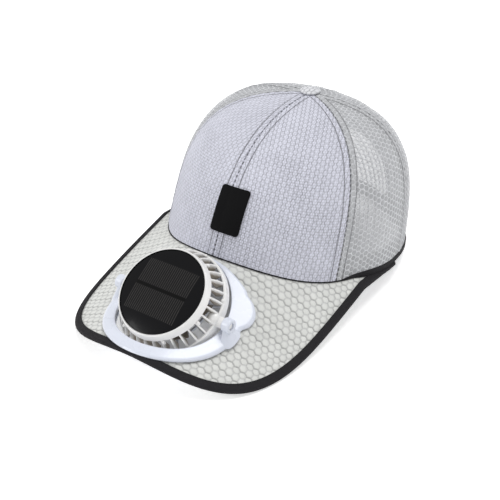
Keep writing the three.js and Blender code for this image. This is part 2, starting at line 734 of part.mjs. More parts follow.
// Base plate: the flange with a rolled edge, and two ears that hold the pivots.
function basePlate() {
  const rows = 3;
  const rollShare = 0.8;
  const face = (rise, edgeRise) => (u, v) => {
    const bearing = u * 2 * Math.PI - Math.PI / 2;
    const share = v < 1 ? v * (rows / (rows - 1)) * rollShare : 1;
    const radius = lerp(HOLE_RADIUS, plateOutline(bearing), share);
    return onSeat(radius, bearing, v < 1 ? rise : edgeRise);
  };
  const top = SEAT_RISE + PLATE_THICKNESS;
  const flange = sheet(PLATE_COLUMNS, rows, face(top, top - PLATE_EDGE_DROP), face(SEAT_RISE, SEAT_RISE), true);
  const ears = [-1, 1].flatMap((side) => ear(side));
  const bores = [-1, 1].map((side) => crossPin(PIVOT_RADIUS + PIVOT_CLEARANCE,
    side * HOLE_RADIUS * 0.9, side * (HOLE_RADIUS + 2 * EAR_LENGTH), FAN_Y, PIVOT_HEIGHT));
  return cut(join([flange, ...ears]), [fanBore(HOLE_RADIUS), ...bores]);
}

// One ear: a flared pedestal from inside the flange up to the pivot axis, and the round eye on it.
function ear(side) {
  const inner = HOLE_RADIUS - EAR_LENGTH / 4;
  const outer = HOLE_RADIUS + EAR_LENGTH;
  const pedestal = sheet(4, 3,
    (u, v) => vec(side * lerp(inner, outer, u), FAN_Y + lerp(-EAR_RADIUS, EAR_RADIUS, v), PIVOT_HEIGHT),
    (u, v) => {
      const x = side * lerp(inner, outer + EAR_FOOT - EAR_RADIUS, u);
      const y = FAN_Y + lerp(-EAR_FOOT, EAR_FOOT, v);
      return vec(x, y, peakTop(x, y) + SEAT_RISE + PLATE_THICKNESS / 2);
    });
  return [pedestal, crossPin(EAR_RADIUS, side * inner, side * outer, FAN_Y, PIVOT_HEIGHT)];
}

// Clamp ring: the plain flange under the peak.
function clampRing() {
  const face = (rise) => (u, v) => {
    const bearing = u * 2 * Math.PI;
    const edge = Math.min(CLAMP_RADIUS, backEdge(bearing));
    return onSeat(lerp(HOLE_RADIUS + PEAK_HOLE_CLEARANCE, edge, v), bearing, rise);
  };
  const top = -PEAK_THICKNESS - SEAT_RISE;
  return sheet(PLATE_COLUMNS, 2, face(top), face(top - CLAMP_THICKNESS), true);
}

// FAN POD: modelled upright about the pivot axis, then tilted.
const RING_RADIUS = HOLE_RADIUS - RING_CLEARANCE;
const PANEL_SEAT = PANEL_TOP - PANEL_THICKNESS - SEAT_GAP;
const DECK_BOTTOM = PANEL_SEAT - DECK_THICKNESS;
const BEZEL_BORE = PANEL_RADIUS + SEAT_GAP;
const BEZEL_RADIUS = BEZEL_BORE + BEZEL_WIDTH;
const SKIRT_RADIUS = BEZEL_RADIUS + SKIRT_FLARE;
const BEZEL_TOP = PANEL_TOP - PANEL_PROUD;
const SKIRT_BOTTOM = BEZEL_TOP - SKIRT_DEPTH;

// Bezel, deck under the panel and skirt, as one turned shell.
function housingHead() {
  return turned([[0, PANEL_SEAT], [BEZEL_BORE, PANEL_SEAT], [BEZEL_BORE, BEZEL_TOP],
    [BEZEL_RADIUS - BEZEL_CHAMFER, BEZEL_TOP], [BEZEL_RADIUS, BEZEL_TOP - BEZEL_CHAMFER],
    [SKIRT_RADIUS, SKIRT_BOTTOM], [SKIRT_RADIUS - SKIRT_WALL, SKIRT_BOTTOM],
    [BEZEL_BORE, DECK_BOTTOM], [0, DECK_BOTTOM]], ROUND_SEGMENTS);
}

function housingRing() {
  const inner = RING_RADIUS - RING_WIDTH;
  return turned([[inner, -RING_BOTTOM], [RING_RADIUS, -RING_BOTTOM], [RING_RADIUS, RING_TOP - RING_WIDTH / 2],
    [RING_RADIUS - RING_WIDTH / 3, RING_TOP], [inner, RING_TOP], [inner, -RING_BOTTOM]], ROUND_SEGMENTS);
}

// One rib of the conical grille, bowed out between the skirt and the ring.
function rib(turn) {
  const high = SKIRT_BOTTOM + RIB_OVERLAP / 2;
  const low = RING_TOP - RIB_OVERLAP;
  const outTop = SKIRT_RADIUS - SKIRT_WALL / 4;
  const outLow = RING_RADIUS - RING_WIDTH / 3;
  const middle = (high + low) / 2;
  const outMiddle = (outTop + outLow) / 2 + RIB_BULGE;
  const corners = [[outTop, high], [outMiddle, middle], [outLow, low], [outLow - RIB_DEPTH, low],
    [outMiddle - RIB_DEPTH, middle], [outTop - RIB_DEPTH / 2, high]];
  const shape = new THREE.Shape(corners.map(([r, z]) => new THREE.Vector2(r, z)));
  const blade = new THREE.ExtrudeGeometry(shape, { depth: RIB_THICKNESS, bevelEnabled: false });
  blade.translate(0, 0, -RIB_THICKNESS / 2);
  blade.rotateX(Math.PI / 2);
  blade.rotateZ(turn);
  return blade;
}

function fanHousing() {
  const pieces = [housingHead(), housingRing()];
  for (let i = 0; i < RIB_COUNT; i++) {
    pieces.push(rib((i + 0.5) * 2 * Math.PI / RIB_COUNT));
  }
  const pinEnd = HOLE_RADIUS + EAR_LENGTH - PIVOT_RECESS;
  for (const side of [-1, 1]) {
    pieces.push(crossPin(BOSS_RADIUS, side * (RING_RADIUS - BOSS_LENGTH), side * RING_RADIUS * 0.995, 0, 0));
    pieces.push(crossPin(PIVOT_RADIUS, side * (RING_RADIUS - BOSS_LENGTH / 2), side * pinEnd, 0, 0));
  }
  return join(pieces);
}

function solarPanel() {
  const bottom = PANEL_TOP - PANEL_THICKNESS;
  return turned([[0, bottom], [PANEL_RADIUS, bottom], [PANEL_RADIUS, PANEL_TOP - PANEL_CHAMFER],
    [PANEL_RADIUS - PANEL_CHAMFER, PANEL_TOP], [0, PANEL_TOP]], ROUND_SEGMENTS);
}

// Motor hung under the deck, with a bore for the impeller's shaft.
const MOTOR_TOP = DECK_BOTTOM - SEAT_GAP;
const MOTOR_BOTTOM = MOTOR_TOP - MOTOR_HEIGHT;

function motor() {
  const bore = SHAFT_RADIUS + SHAFT_CLEARANCE;
  const deep = MOTOR_BOTTOM + SHAFT_SEAT;
  return turned([[0, deep], [bore, deep], [bore, MOTOR_BOTTOM], [MOTOR_RADIUS, MOTOR_BOTTOM],
    [MOTOR_RADIUS, MOTOR_TOP], [0, MOTOR_TOP]], SMALL_SEGMENTS);
}

// Impeller: a cup round the motor with pitched blades, and the shaft inside it.
const OUTLET_TOP = OUTLET_THICKNESS - RING_BOTTOM;
const HUB_BOTTOM = OUTLET_TOP + OUTLET_RUNNING_GAP;
const HUB_BORE = MOTOR_RADIUS + HUB_CLEARANCE;
const HUB_RADIUS = HUB_BORE + HUB_WALL;

function impeller() {
  const floor = HUB_BOTTOM + HUB_FLOOR;
  const shaftTop = MOTOR_BOTTOM + SHAFT_SEAT - SHAFT_CLEARANCE;
  const cup = turned([[0, HUB_BOTTOM], [HUB_RADIUS, HUB_BOTTOM], [HUB_RADIUS, HUB_BOTTOM + HUB_HEIGHT],
    [HUB_BORE, HUB_BOTTOM + HUB_HEIGHT], [HUB_BORE, floor], [SHAFT_RADIUS, floor], [SHAFT_RADIUS, shaftTop],
    [0, shaftTop]], SMALL_SEGMENTS);
  const blades = [];
  for (let i = 0; i < BLADE_COUNT; i++) {
    blades.push(blade(i * 2 * Math.PI / BLADE_COUNT));
  }
  return join([cup, ...blades]);
}

// One blade: its leading edge is high and its trailing edge low.
function blade(turn) {
  const root = HUB_RADIUS - HUB_WALL / 2;
  const tip = SKIRT_RADIUS - SKIRT_WALL - BLADE_TIP_CLEARANCE + SKIRT_FLARE;
  const low = HUB_BOTTOM + BLADE_THICKNESS;
  const face = (side) => (u, v) => {
    const radius = lerp(root, tip, u);
    const sweepAngle = turn + (v - 0.5) * (BLADE_CHORD / lerp(radius, tip, 0.4));
    const height = lerp(low, low + BLADE_HEIGHT, 1 - v) + side * BLADE_THICKNESS / 2;
    return vec(radius * Math.cos(sweepAngle), radius * Math.sin(sweepAngle), height);
  };
  return sheet(4, 3, face(1), face(-1));
}

// Outlet grille inside the foot of the ring, under the impeller: hub, two rings and spokes.
function outletGrille() {
  const low = OUTLET_TOP - OUTLET_THICKNESS;
  const ringAt = (inner, outer) => turned([[inner, low], [outer, low], [outer, OUTLET_TOP], [inner, OUTLET_TOP],
    [inner, low]], ROUND_SEGMENTS);
  const outer = RING_RADIUS - BOSS_LENGTH - SEAT_GAP;
  const hub = turned([[0, low], [OUTLET_HUB_RADIUS, low], [OUTLET_HUB_RADIUS, OUTLET_TOP], [0, OUTLET_TOP]],
    SMALL_SEGMENTS);
  const pieces = [hub, ringAt(outer - RING_WIDTH, outer),
    ringAt(OUTLET_RING_RADIUS, OUTLET_RING_RADIUS + OUTLET_BAR)];
  const length = outer - RING_WIDTH / 2 - OUTLET_HUB_RADIUS / 2;
  for (let i = 0; i < OUTLET_SPOKES; i++) {
    const spoke = new THREE.BoxGeometry(length, OUTLET_BAR, OUTLET_THICKNESS);
    spoke.translate(OUTLET_HUB_RADIUS / 2 + length / 2, 0, low + OUTLET_THICKNESS / 2);
    spoke.rotateZ((i + 0.5) * 2 * Math.PI / OUTLET_SPOKES);
    pieces.push(spoke);
  }
  return join(pieces);
}

// SCENE GRAPH
function piece(name, geometry, color, roughness, metalness = 0) {
  const flat = geometry.index ? geometry : mergeVertices(geometry);
  flat.computeVertexNormals();
  const mesh = new THREE.Mesh(flat, new THREE.MeshStandardMaterial({ color, roughness, metalness }));
  mesh.name = name;
  return mesh;
}

function crown() {
  const group = new THREE.Group();
  const [back, right, frontRight, front, frontLeft, left, backLeft] = SEAMS;
  group.add(piece('panel_front_right', crownPanel(frontRight, front), COLOURS.frontMesh, 0.85));
  group.add(piece('panel_front_left', crownPanel(front, frontLeft), COLOURS.frontMesh, 0.85));
  group.add(piece('panel_side_right', crownPanel(right, frontRight), COLOURS.sideMesh, 0.85));
  group.add(piece('panel_side_left', crownPanel(frontLeft, left), COLOURS.sideMesh, 0.85));
  group.add(piece('panel_back_right', backPanel(back, right), COLOURS.sideMesh, 0.85));
  group.add(piece('panel_back_left', backPanel(left, backLeft), COLOURS.sideMesh, 0.85));
  group.add(piece('top_button', topButton(), COLOURS.sideMesh, 0.85));
  group.add(piece('hem_band', hemBand(), COLOURS.tape, 0.9));
  group.add(piece('rear_strap', rearStrap(), COLOURS.tape, 0.7));
  group.add(piece('front_patch', frontPatch(), COLOURS.rubber, 0.6));
  return group;
}

function peak() {
  const group = new THREE.Group();
  group.add(piece('peak', peakBoard(), COLOURS.peakMesh, 0.85));
  group.add(piece('peak_binding', peakBinding(), COLOURS.tape, 0.9));
  group.add(piece('fan_base_plate', basePlate(), COLOURS.whitePlastic, 0.3));
  group.add(piece('fan_clamp_ring', clampRing(), COLOURS.whitePlastic, 0.35));
  return group;
}

function fanPod() {
  const pod = new THREE.Group();
  pod.position.set(0, FAN_Y, PIVOT_HEIGHT);
  pod.rotation.x = rad(FAN_TILT);
  pod.add(piece('fan_housing', fanHousing(), COLOURS.whitePlastic, 0.3));
  pod.add(piece('solar_panel', solarPanel(), COLOURS.solar, 0.15));
  pod.add(piece('motor', motor(), COLOURS.metal, 0.4, 0.7));
  pod.add(piece('impeller', impeller(), COLOURS.greyPlastic, 0.35));
  pod.add(piece('outlet_grille', outletGrille(), COLOURS.whitePlastic, 0.35));
  return pod;
}

// Leans the hat back onto its resting plane, with the origin on it below the middle of the bounding box.
function atRest(group) {
  group.rotation.x = -Math.atan(REST_SLOPE);
  const box = new THREE.Box3().setFromObject(group, true);
  group.position.set(0, -(box.min.y + box.max.y) / 2, -box.min.z);
  return group;
}

const assembly = new THREE.Group();
assembly.add(crown());
assembly.add(peak());
assembly.add(fanPod());

const hat = new THREE.Group();
hat.name = 'solar_fan_hat';
hat.add(atRest(assembly));

export default hat;
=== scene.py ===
# %% [markdown]
# # A solar fan hat
# The real thing is a six-panel mesh cap with a stiff curved peak. A small fan sits in a hole in the
# peak: a white flange, a tilting housing with a slotted wall, and a black solar cell on top of it.
# A solid model gives every size and every joint. Here each plain solid gets a finer surface with the
# same shape, and then its cloth, thread, rubber or moulded finish.

import json
import math

import bmesh
import bpy
import numpy as np
from mathutils import Matrix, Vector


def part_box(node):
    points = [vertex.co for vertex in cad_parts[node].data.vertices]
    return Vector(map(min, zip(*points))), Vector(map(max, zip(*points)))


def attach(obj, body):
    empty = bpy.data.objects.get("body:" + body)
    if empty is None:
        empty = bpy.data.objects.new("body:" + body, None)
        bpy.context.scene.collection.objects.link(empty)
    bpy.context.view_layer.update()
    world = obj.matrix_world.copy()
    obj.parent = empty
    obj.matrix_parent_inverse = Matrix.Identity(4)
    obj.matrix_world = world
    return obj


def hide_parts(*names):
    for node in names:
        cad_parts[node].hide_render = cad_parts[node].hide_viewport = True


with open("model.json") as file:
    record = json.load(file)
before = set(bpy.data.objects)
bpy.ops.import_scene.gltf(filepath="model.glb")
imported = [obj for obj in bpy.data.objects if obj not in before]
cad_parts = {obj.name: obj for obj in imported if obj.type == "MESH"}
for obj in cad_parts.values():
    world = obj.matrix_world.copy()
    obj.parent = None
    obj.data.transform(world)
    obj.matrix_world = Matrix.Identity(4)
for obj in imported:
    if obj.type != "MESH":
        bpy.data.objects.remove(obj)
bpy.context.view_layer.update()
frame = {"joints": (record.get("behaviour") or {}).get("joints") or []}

# %% [markdown]
# ## Sizes
# The shapes are the same functions as in the solid model, so they start from the same named sizes.
# Lengths are in millimetres, in the hat's own frame: as it is worn, with a level hem.

# %% Named sizes
HALF_WIDTH, FRONT_REACH, BACK_REACH = 94.0, 91.0, 98.5
HEIGHT, APEX_BACK, PLAN_POWER, WAIST = 137.0, 31.0, 1.89, 0.065
PROFILE = {"side": (2.45, 0.217), "front": (2.38, 0.135), "back": (2.0, -0.122)}
CLOTH, PUFF, TIP_RADIUS = 1.5, 1.6, 4.5
SEAMS = np.radians([-180, -102, -57, 0, 57, 102, 180])
FOLDS = np.array([  # bearing, start, end, half width, depth
    [118, 0.62, 0.99, 7, 0.012], [139, 0.52, 0.98, 8, 0.016], [160, 0.60, 0.98, 7, 0.012],
    [-124, 0.56, 0.98, 8, 0.014], [-150, 0.60, 0.98, 8, 0.012], [88, 0.20, 0.66, 8, 0.012]])
PEAK_REACH, PEAK_HALF, END_BACK, END_ANGLE = 93.0, 95.3, 8.0, math.radians(94)
SIDE_POWER, FRONT_POWER = 2.35, 6.0
SLOPE, LEVELLING, ARCH_RADIUS, OPENING, FLATTENING = 0.411, 0.069, 79.4, 0.279, 0.384
BOARD, SEAT, TAPE, TAPE_WIDTH, JOINT_GAP = 1.6, 0.3, 0.7, 5.2, 0.65
HEM_REST, HEM_BACK = math.radians(150), 28.0
ARCH_HALF, ARCH_TOP = 40.0, 88.0
HOLE, FAN_AHEAD, FAN_TILT = 41.8, 44.0, math.radians(37.6)

# %% [markdown]
# ## Small tools
# Every new surface is a grid of points worked out as one array. These helpers turn such grids into
# closed meshes: a shell between two faces, a loft of cross-sections, and a turned profile.

# %% Curves and easing
def bow(value, power):
    """Keeps the sign and raises the size to 2 / power: bends a circle into a squarer or slimmer oval."""
    return np.sign(value) * np.abs(value) ** (2 / power)


def ease(value, low, high):
    """0 below low, 1 above high, and a smooth S between them."""
    t = np.clip((value - low) / (high - low), 0, 1)
    return t * t * (3 - 2 * t)


def unit(vectors):
    """Each vector divided by its length."""
    return vectors / np.maximum(np.linalg.norm(vectors, axis=-1, keepdims=True), 1e-9)


def travel(points, axis=0):
    """Length run along a line of points, or along one axis of a grid of them."""
    steps = np.linalg.norm(np.diff(points, axis=axis), axis=-1)
    return np.cumsum(np.insert(steps, 0, 0, axis), axis)


def quarter_round(inside, reach):
    """Share by which a rounded edge has dropped: 1 at the edge, and 0 from reach inside it."""
    near = 1 - np.clip(inside / reach, 0, 1)
    return 1 - np.sqrt(np.maximum(1 - near ** 2, 0))


def rounded(corners, radius, steps=4):
    """Closed outline with each corner replaced by a short arc: a quadratic curve that starts and ends
    one radius away from the corner, or at less than half of the shorter side."""
    corners = np.asarray(corners, float)
    radius = np.broadcast_to(np.asarray(radius, float), len(corners))
    before, after = np.roll(corners, 1, 0) - corners, np.roll(corners, -1, 0) - corners
    reach = np.minimum(np.linalg.norm(before, axis=1), np.linalg.norm(after, axis=1)) * 0.45
    reach = np.minimum(reach, radius)[:, None, None]
    t = np.linspace(0, 1, steps)[None, :, None]
    a = corners[:, None] + unit(before)[:, None] * reach
    b = corners[:, None] + unit(after)[:, None] * reach
    arc = (1 - t) ** 2 * a + 2 * t * (1 - t) * corners[:, None] + t ** 2 * b
    return arc.reshape(-1, 2)


# %% Grids into closed bodies
def circle(count):
    """Evenly spaced angles once round."""
    return np.linspace(0, 2 * np.pi, count, endpoint=False)


def numbered(rows, columns, ring=True):
    """Grid of point numbers, whose first column comes again at the end where it is a ring."""
    index = np.arange(rows * columns).reshape(rows, columns)
    return np.hstack([index, index[:, :1]]) if ring else index


def repeated(faces, copies, size):
    """Faces of several copies of a body of this many points."""
    return (faces[None] + (np.arange(copies) * size)[:, None, None]).reshape(-1, 4)


def quads(index):
    """Corners of every cell in a grid of point numbers."""
    return np.stack([index[:-1, :-1], index[:-1, 1:], index[1:, 1:], index[1:, :-1]], -1).reshape(-1, 4)


def shell(upper, lower, keep=None, ring=False):
    """Body between two grids of the same size: both faces, and a wall along every free edge. With
    keep, only those cells stay, so a hole gets its own wall."""
    rows, columns = upper.shape[:2]
    cells = quads(numbered(rows, columns, ring))
    if keep is not None:
        cells = cells[keep.ravel()]
    count = rows * columns
    edges = np.concatenate([cells[:, [k, (k + 1) % 4]] for k in range(4)])
    code = edges.min(1) * count + edges.max(1)
    _, where, uses = np.unique(code, return_inverse=True, return_counts=True)
    rim = edges[uses[where.ravel()] == 1]
    walls = np.stack([rim[:, 1], rim[:, 0], rim[:, 0] + count, rim[:, 1] + count], -1)
    faces = np.concatenate([cells, cells[:, ::-1] + count, walls])
    return np.concatenate([upper.reshape(-1, 3), lower.reshape(-1, 3)]), faces


def loft(sections, ring=False):
    """Skin over cross-sections with shape (station, corner, 3). Open ends shrink to their middle."""
    if not ring:
        middle = sections[[0, -1]].mean(1, keepdims=True)
        ends = np.repeat(middle, sections.shape[1], 1)
        sections = np.concatenate([ends[:1], sections, ends[1:]])
    stations, corners = sections.shape[:2]
    index = numbered(stations, corners)
    if ring:
        index = np.vstack([index, index[:1]])
    return sections.reshape(-1, 3), quads(index)


def turned(profile, segments=144):
    """Body of a closed outline of (radius, height) pairs, turned about the upright axis."""
    angle = circle(segments)[:, None]
    radius, height = np.asarray(profile, float).T
    grid = np.broadcast_arrays(np.cos(angle) * radius, np.sin(angle) * radius, height)
    return loft(np.stack(grid, -1), ring=True)


def lathed(corners, radius, steps, segments):
    """Solid turned body: the corners are rounded, and the outline runs in to the axis at both ends."""
    profile = [[[0, corners[0][1]]], rounded(corners, radius, steps), [[0, corners[-1][1]]]]
    return turned(np.concatenate(profile), segments)


def spun(body, turns):
    """One copy of a body for each angle in turns, about the upright axis."""
    points, faces = body
    turns = np.asarray(turns)[:, None]
    x, y, z = points.T
    copies = np.broadcast_arrays(x * np.cos(turns) - y * np.sin(turns), x * np.sin(turns) + y * np.cos(turns), z)
    return np.stack(copies, -1).reshape(-1, 3), repeated(faces, len(turns), len(points))


# %% Bodies into an object
def facing_out(points, faces):
    """Turns the faces round where the volume that they enclose comes out negative."""
    p = points[faces]
    volume = np.einsum("ij,ij->i", p[:, 0], np.cross(p[:, 1], p[:, 2]) + np.cross(p[:, 2], p[:, 3])).sum()
    return faces if volume > 0 else faces[:, ::-1]


def build(name, bodies, finish, body="cap", stands_for=(), uv=None, extra=None, crease=40):
    """Makes one object from closed bodies in the frame of the hat or of the fan, with its finish, its
    rider and the solids it covers, and says how far its box is from theirs."""
    place = worn if body == "cap" else pod
    bodies = [place(part) for part in bodies]
    offsets = np.cumsum([0] + [len(points) for points, _ in bodies[:-1]])
    points = np.concatenate([p for p, _ in bodies])
    faces = np.concatenate([facing_out(p, f) + start for (p, f), start in zip(bodies, offsets)])
    mesh = bpy.data.meshes.new(name)
    mesh.vertices.add(len(points))
    mesh.vertices.foreach_set("co", points.ravel())
    mesh.loops.add(faces.size)
    mesh.loops.foreach_set("vertex_index", faces.ravel())
    mesh.polygons.add(len(faces))
    mesh.polygons.foreach_set("loop_start", np.arange(0, faces.size, 4))
    mesh.update(calc_edges=True)
    if uv is not None:
        mesh.uv_layers.new(name="cloth").data.foreach_set("uv", uv[faces.ravel()].ravel())
    for key, values in (extra or {}).items():
        mesh.attributes.new(key, "FLOAT", "POINT").data.foreach_set("value", values)
    welded = bmesh.new()
    welded.from_mesh(mesh)
    bmesh.ops.remove_doubles(welded, verts=welded.verts, dist=1e-7)
    loose = [v for v in welded.verts if not v.link_faces]
    bmesh.ops.delete(welded, geom=loose, context="VERTS")
    welded.to_mesh(mesh)
    welded.free()
    mesh.polygons.foreach_set("use_smooth", np.ones(len(mesh.polygons), bool))
    mesh.set_sharp_from_angle(angle=math.radians(crease))
    piece = bpy.data.objects.new(name, mesh)
    bpy.context.scene.collection.objects.link(piece)
    mesh.materials.append(finish)
    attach(piece, body)
    if stands_for:
        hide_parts(*stands_for)
    for node in stands_for:
        gap = np.abs(np.array([points.min(0), points.max(0)]) - np.array(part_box(node))).max()
        print(f"{node}: boxes differ by {gap * 1000:.2f} mm")
    print(f"{name}: {len(mesh.polygons)} faces")
    return piece


# %% [markdown]
# ## The surfaces of the cap
# The peak droops forward and arches across. The crown is a dome whose plan is an oval and whose
# outline, seen from the side and the front, is squarer than a circle. Its hem follows the peak in
# front and lies level behind, so the hat can lean back and stand by itself.

# %% Peak surface
def peak_relief(x, y):
    """Height of the peak below its root: a slope forward that levels off, less an arch across, which is
    x squared over twice its radius, wider open towards the front edge and flatter at the sides."""
    ahead = np.maximum(-y - FRONT_REACH, -0.6 * PEAK_REACH)
    share = ahead / PEAK_REACH
    arch = x * x / (2 * ARCH_RADIUS) * (1 - OPENING * np.clip(share, -0.7, 1))
    arch = arch * (1 - FLATTENING * (x / PEAK_HALF) ** 2)
    return -SLOPE * ahead + LEVELLING * PEAK_REACH * np.maximum(share, 0) ** 2 - arch


def outline(count):
    """Peak's edge in plan, as evenly spaced stops, and the direction inwards at each."""
    turn = np.pi * (np.linspace(0, 1, 4001) - 0.5)
    x = PEAK_HALF * bow(np.sin(turn), SIDE_POWER)
    y = END_BACK - (FRONT_REACH + PEAK_REACH + END_BACK) * bow(np.cos(turn), FRONT_POWER)
    run = travel(np.stack([x, y], -1))
    at = np.linspace(0, run[-1], count + 1)
    stops = np.stack([np.interp(at, run, x), np.interp(at, run, y)], -1)
    along = unit(np.gradient(stops, axis=0))
    inward = np.stack([-along[:, 1], along[:, 0]], -1)
    inward[[0, -1]] = [[1, 0], [-1, 0]]
    return stops, inward


coarse = outline(40)[0]
UNDER = BOARD + SEAT + TAPE
PEAK_ROOT = UNDER - peak_relief(coarse[:, 0], coarse[:, 1]).min()


def peak_top(x, y):
    """Height of the peak's upper face."""
    return PEAK_ROOT + peak_relief(x, y)


REST_SLOPE = ((HEM_BACK - peak_top(coarse[:, 0], coarse[:, 1]) + UNDER) / (BACK_REACH - coarse[:, 1])).max()
print("resting plane rises", round(math.degrees(math.atan(REST_SLOPE)), 3), "degrees to the back")


# %% Hem and crown surfaces
def hem_plan(bearing):
    """Crown's lower edge in plan: an oval, deeper behind than in front."""
    along = np.cos(bearing)
    reach = np.where(along > 0, FRONT_REACH, BACK_REACH)
    return np.stack([HALF_WIDTH * bow(np.sin(bearing), PLAN_POWER), -reach * bow(along, PLAN_POWER)], -1)


def hem_outward(bearing):
    """Direction away from the head, square to the hem."""
    run = hem_plan(bearing + 0.01) - hem_plan(bearing - 0.01)
    return unit(np.stack([run[..., 1], -run[..., 0]], -1))


def hem_height(bearing, depth=0.0):
    """On the peak in front, and down to the resting plane at the back."""
    depth = np.asarray(depth)[..., None]
    turn = np.minimum(np.abs(bearing), END_ANGLE) * np.where(bearing < 0, -1, 1)
    front = hem_plan(turn) - hem_outward(turn) * depth
    back = hem_plan(bearing) - hem_outward(bearing) * depth
    rest = HEM_BACK + REST_SLOPE * (back[..., 1] - BACK_REACH)
    fall = ease(np.abs(bearing), END_ANGLE, HEM_REST)
    return (peak_top(front[..., 0], front[..., 1]) + JOINT_GAP) * (1 - fall) + rest * fall


def dome(share, power, flare):
    """Half width of one outline of the dome as a share of its foot: it flares, narrows a little at the
    waist, and closes at the top."""
    waist = 1 - WAIST * 4 * share * (1 - share)
    return (1 + flare * share) * waist * np.maximum(1 - np.maximum(share, 0) ** power, 0) ** (1 / power)


def bearing_at(across):
    """Bearing in front at which the oval reaches this share of its half width to one side."""
    return np.arcsin(np.abs(across) ** (PLAN_POWER / 2)) * np.sign(across)


def crown_base(bearing, share):
    """Dome: the oval of the hem shrinks with height along one outline at the sides, one in front and one
    behind, and shifts back towards the button."""
    along = np.cos(bearing)
    ahead = along > 0
    power, flare = [np.where(ahead, PROFILE["front"][k], PROFILE["back"][k]) for k in (0, 1)]
    reach = np.where(ahead, FRONT_REACH, BACK_REACH)
    foot = hem_height(bearing)
    return np.stack([HALF_WIDTH * dome(share, *PROFILE["side"]) * bow(np.sin(bearing), PLAN_POWER),
                     APEX_BACK * share - reach * dome(share, power, flare) * bow(along, PLAN_POWER),
                     foot + (HEIGHT - foot) * share], -1)


def crown_normal(bearing, share):
    """Outward direction, from a small step round the crown crossed with a small step up it."""
    run = crown_base(bearing + 0.004, share) - crown_base(bearing - 0.004, share)
    rise = crown_base(bearing, share + 0.002) - crown_base(bearing, share - 0.002)
    return unit(np.cross(run, rise))


def crown_relief(bearing, share):
    """Panels puff between their seams, and soft folds run down from the button."""
    low = SEAMS[np.clip(np.searchsorted(SEAMS, bearing - 1e-9, "left") - 1, 0, 5)]
    high = SEAMS[np.clip(np.searchsorted(SEAMS, bearing - 1e-9, "left"), 1, 6)]
    across = (bearing - low) / (high - low)
    up = np.clip(share, 0, 1)
    lift = PUFF * 4 * across * (1 - across) * np.sin(np.pi * up)
    reach = np.sin(np.pi * np.clip((share[..., None] - FOLDS[:, 1]) / (FOLDS[:, 2] - FOLDS[:, 1]), 0, 1))
    off = (bearing[..., None] - np.radians(FOLDS[:, 0])) / np.radians(FOLDS[:, 3])
    return lift - (HALF_WIDTH * FOLDS[:, 4] * reach * np.exp(-off * off)).sum(-1)


def crown_point(bearing, share, depth=0.0):
    """Point of the wall at a depth inside its outer face."""
    bearing, share, depth = np.broadcast_arrays(bearing, share, depth)
    out = crown_relief(bearing, share) - depth
    return crown_base(bearing, share) + crown_normal(bearing, share) * out[..., None]


def share_at_height(bearing, height, depth=0.0):
    """Share of the crown's height at which the wall passes a given height, by a few corrections."""
    foot = hem_height(bearing)
    share = (height - foot) / (HEIGHT - foot)
    for _ in range(6):
        share = share + (height - crown_point(bearing, share, depth)[..., 2]) / (HEIGHT - foot)
    return share


# %% From the hat's own frames to the frame of the solid model
def turn_x(points, angle):
    """Turns points about the X axis."""
    c, s = math.cos(angle), math.sin(angle)
    x, y, z = np.moveaxis(np.asarray(points, float), -1, 0)
    return np.stack([x, y * c - z * s, y * s + z * c], -1)


LEAN = -math.atan(REST_SLOPE)
FAN_Y = -(FRONT_REACH + FAN_AHEAD)
PIVOT_HEIGHT = float(peak_top(0.0, FAN_Y))
PIVOT = np.array(frame["joints"][0]["pos_m"]) * 1000
OFFSET = PIVOT - turn_x([0, FAN_Y, PIVOT_HEIGHT], LEAN)


def worn(body):
    """A body, or points, in the worn cap's frame, placed in the model's frame in metres."""
    if isinstance(body, tuple):
        return worn(body[0]), body[1]
    return (turn_x(body, LEAN) + OFFSET) / 1000


def pod(body):
    """The same for a part of the fan, modelled upright about its pivot."""
    return (turn_x(body[0], FAN_TILT + LEAN) + PIVOT) / 1000, body[1]


print("offset of the worn frame", np.round(OFFSET, 3))

# %% [markdown]
# ## Finishes
# Each finish is a Principled shader fed by node groups that several finishes share. A group is one
# effect with named inputs: honeycomb net, woven tape, slow drift of tone, and fine grain.

# %% Node helpers
def add(tree, kind, inputs=None, **settings):
    """Adds one node, applies its settings, and fills or links its inputs."""
    made = tree.nodes.new(kind)
    for key, value in settings.items():
        setattr(made, key, value)
    for key, value in (inputs or {}).items():
        if isinstance(value, bpy.types.NodeSocket):
            tree.links.new(value, made.inputs[key])
        else:
            made.inputs[key].default_value = value
    return made


def maths(tree, operation, a, b=0.0):
    """One sum on single numbers."""
    return add(tree, "ShaderNodeMath", {0: a, 1: b}, operation=operation).outputs[0]


def times(tree, *factors):
    """Product of numbers."""
    product = factors[0]
    for factor in factors[1:]:
        product = maths(tree, "MULTIPLY", product, factor)
    return product


def less(tree, value):
    """1 less a value."""
    return maths(tree, "SUBTRACT", 1.0, value)


def split(tree, vector):
    """The x, y and z of a vector."""
    return tuple(add(tree, "ShaderNodeSeparateXYZ", {0: vector}).outputs)


def vectors(tree, operation, *inputs):
    """One sum on vectors: its vector result, or its value for a dot product."""
    made = add(tree, "ShaderNodeVectorMath", dict(enumerate(inputs)), operation=operation)
    return made.outputs["Value" if operation == "DOT_PRODUCT" else "Vector"]


def step_between(tree, value, low, high):
    """Mask that goes smoothly from 0 at low to 1 at high."""
    ends = {0: value, 1: low, 2: high, 3: 0.0, 4: 1.0}
    return add(tree, "ShaderNodeMapRange", ends, interpolation_type="SMOOTHSTEP").outputs[0]


def blend(tree, share, a, b):
    """Colour a where share is 0 and b where it is 1."""
    return add(tree, "ShaderNodeMix", {0: share, 6: a, 7: b}, data_type="RGBA").outputs[2]


def grey(value, tint=(1, 1, 1)):
    """Colour of one lightness, slightly tinted."""
    return (value * tint[0], value * tint[1], value * tint[2], 1.0)


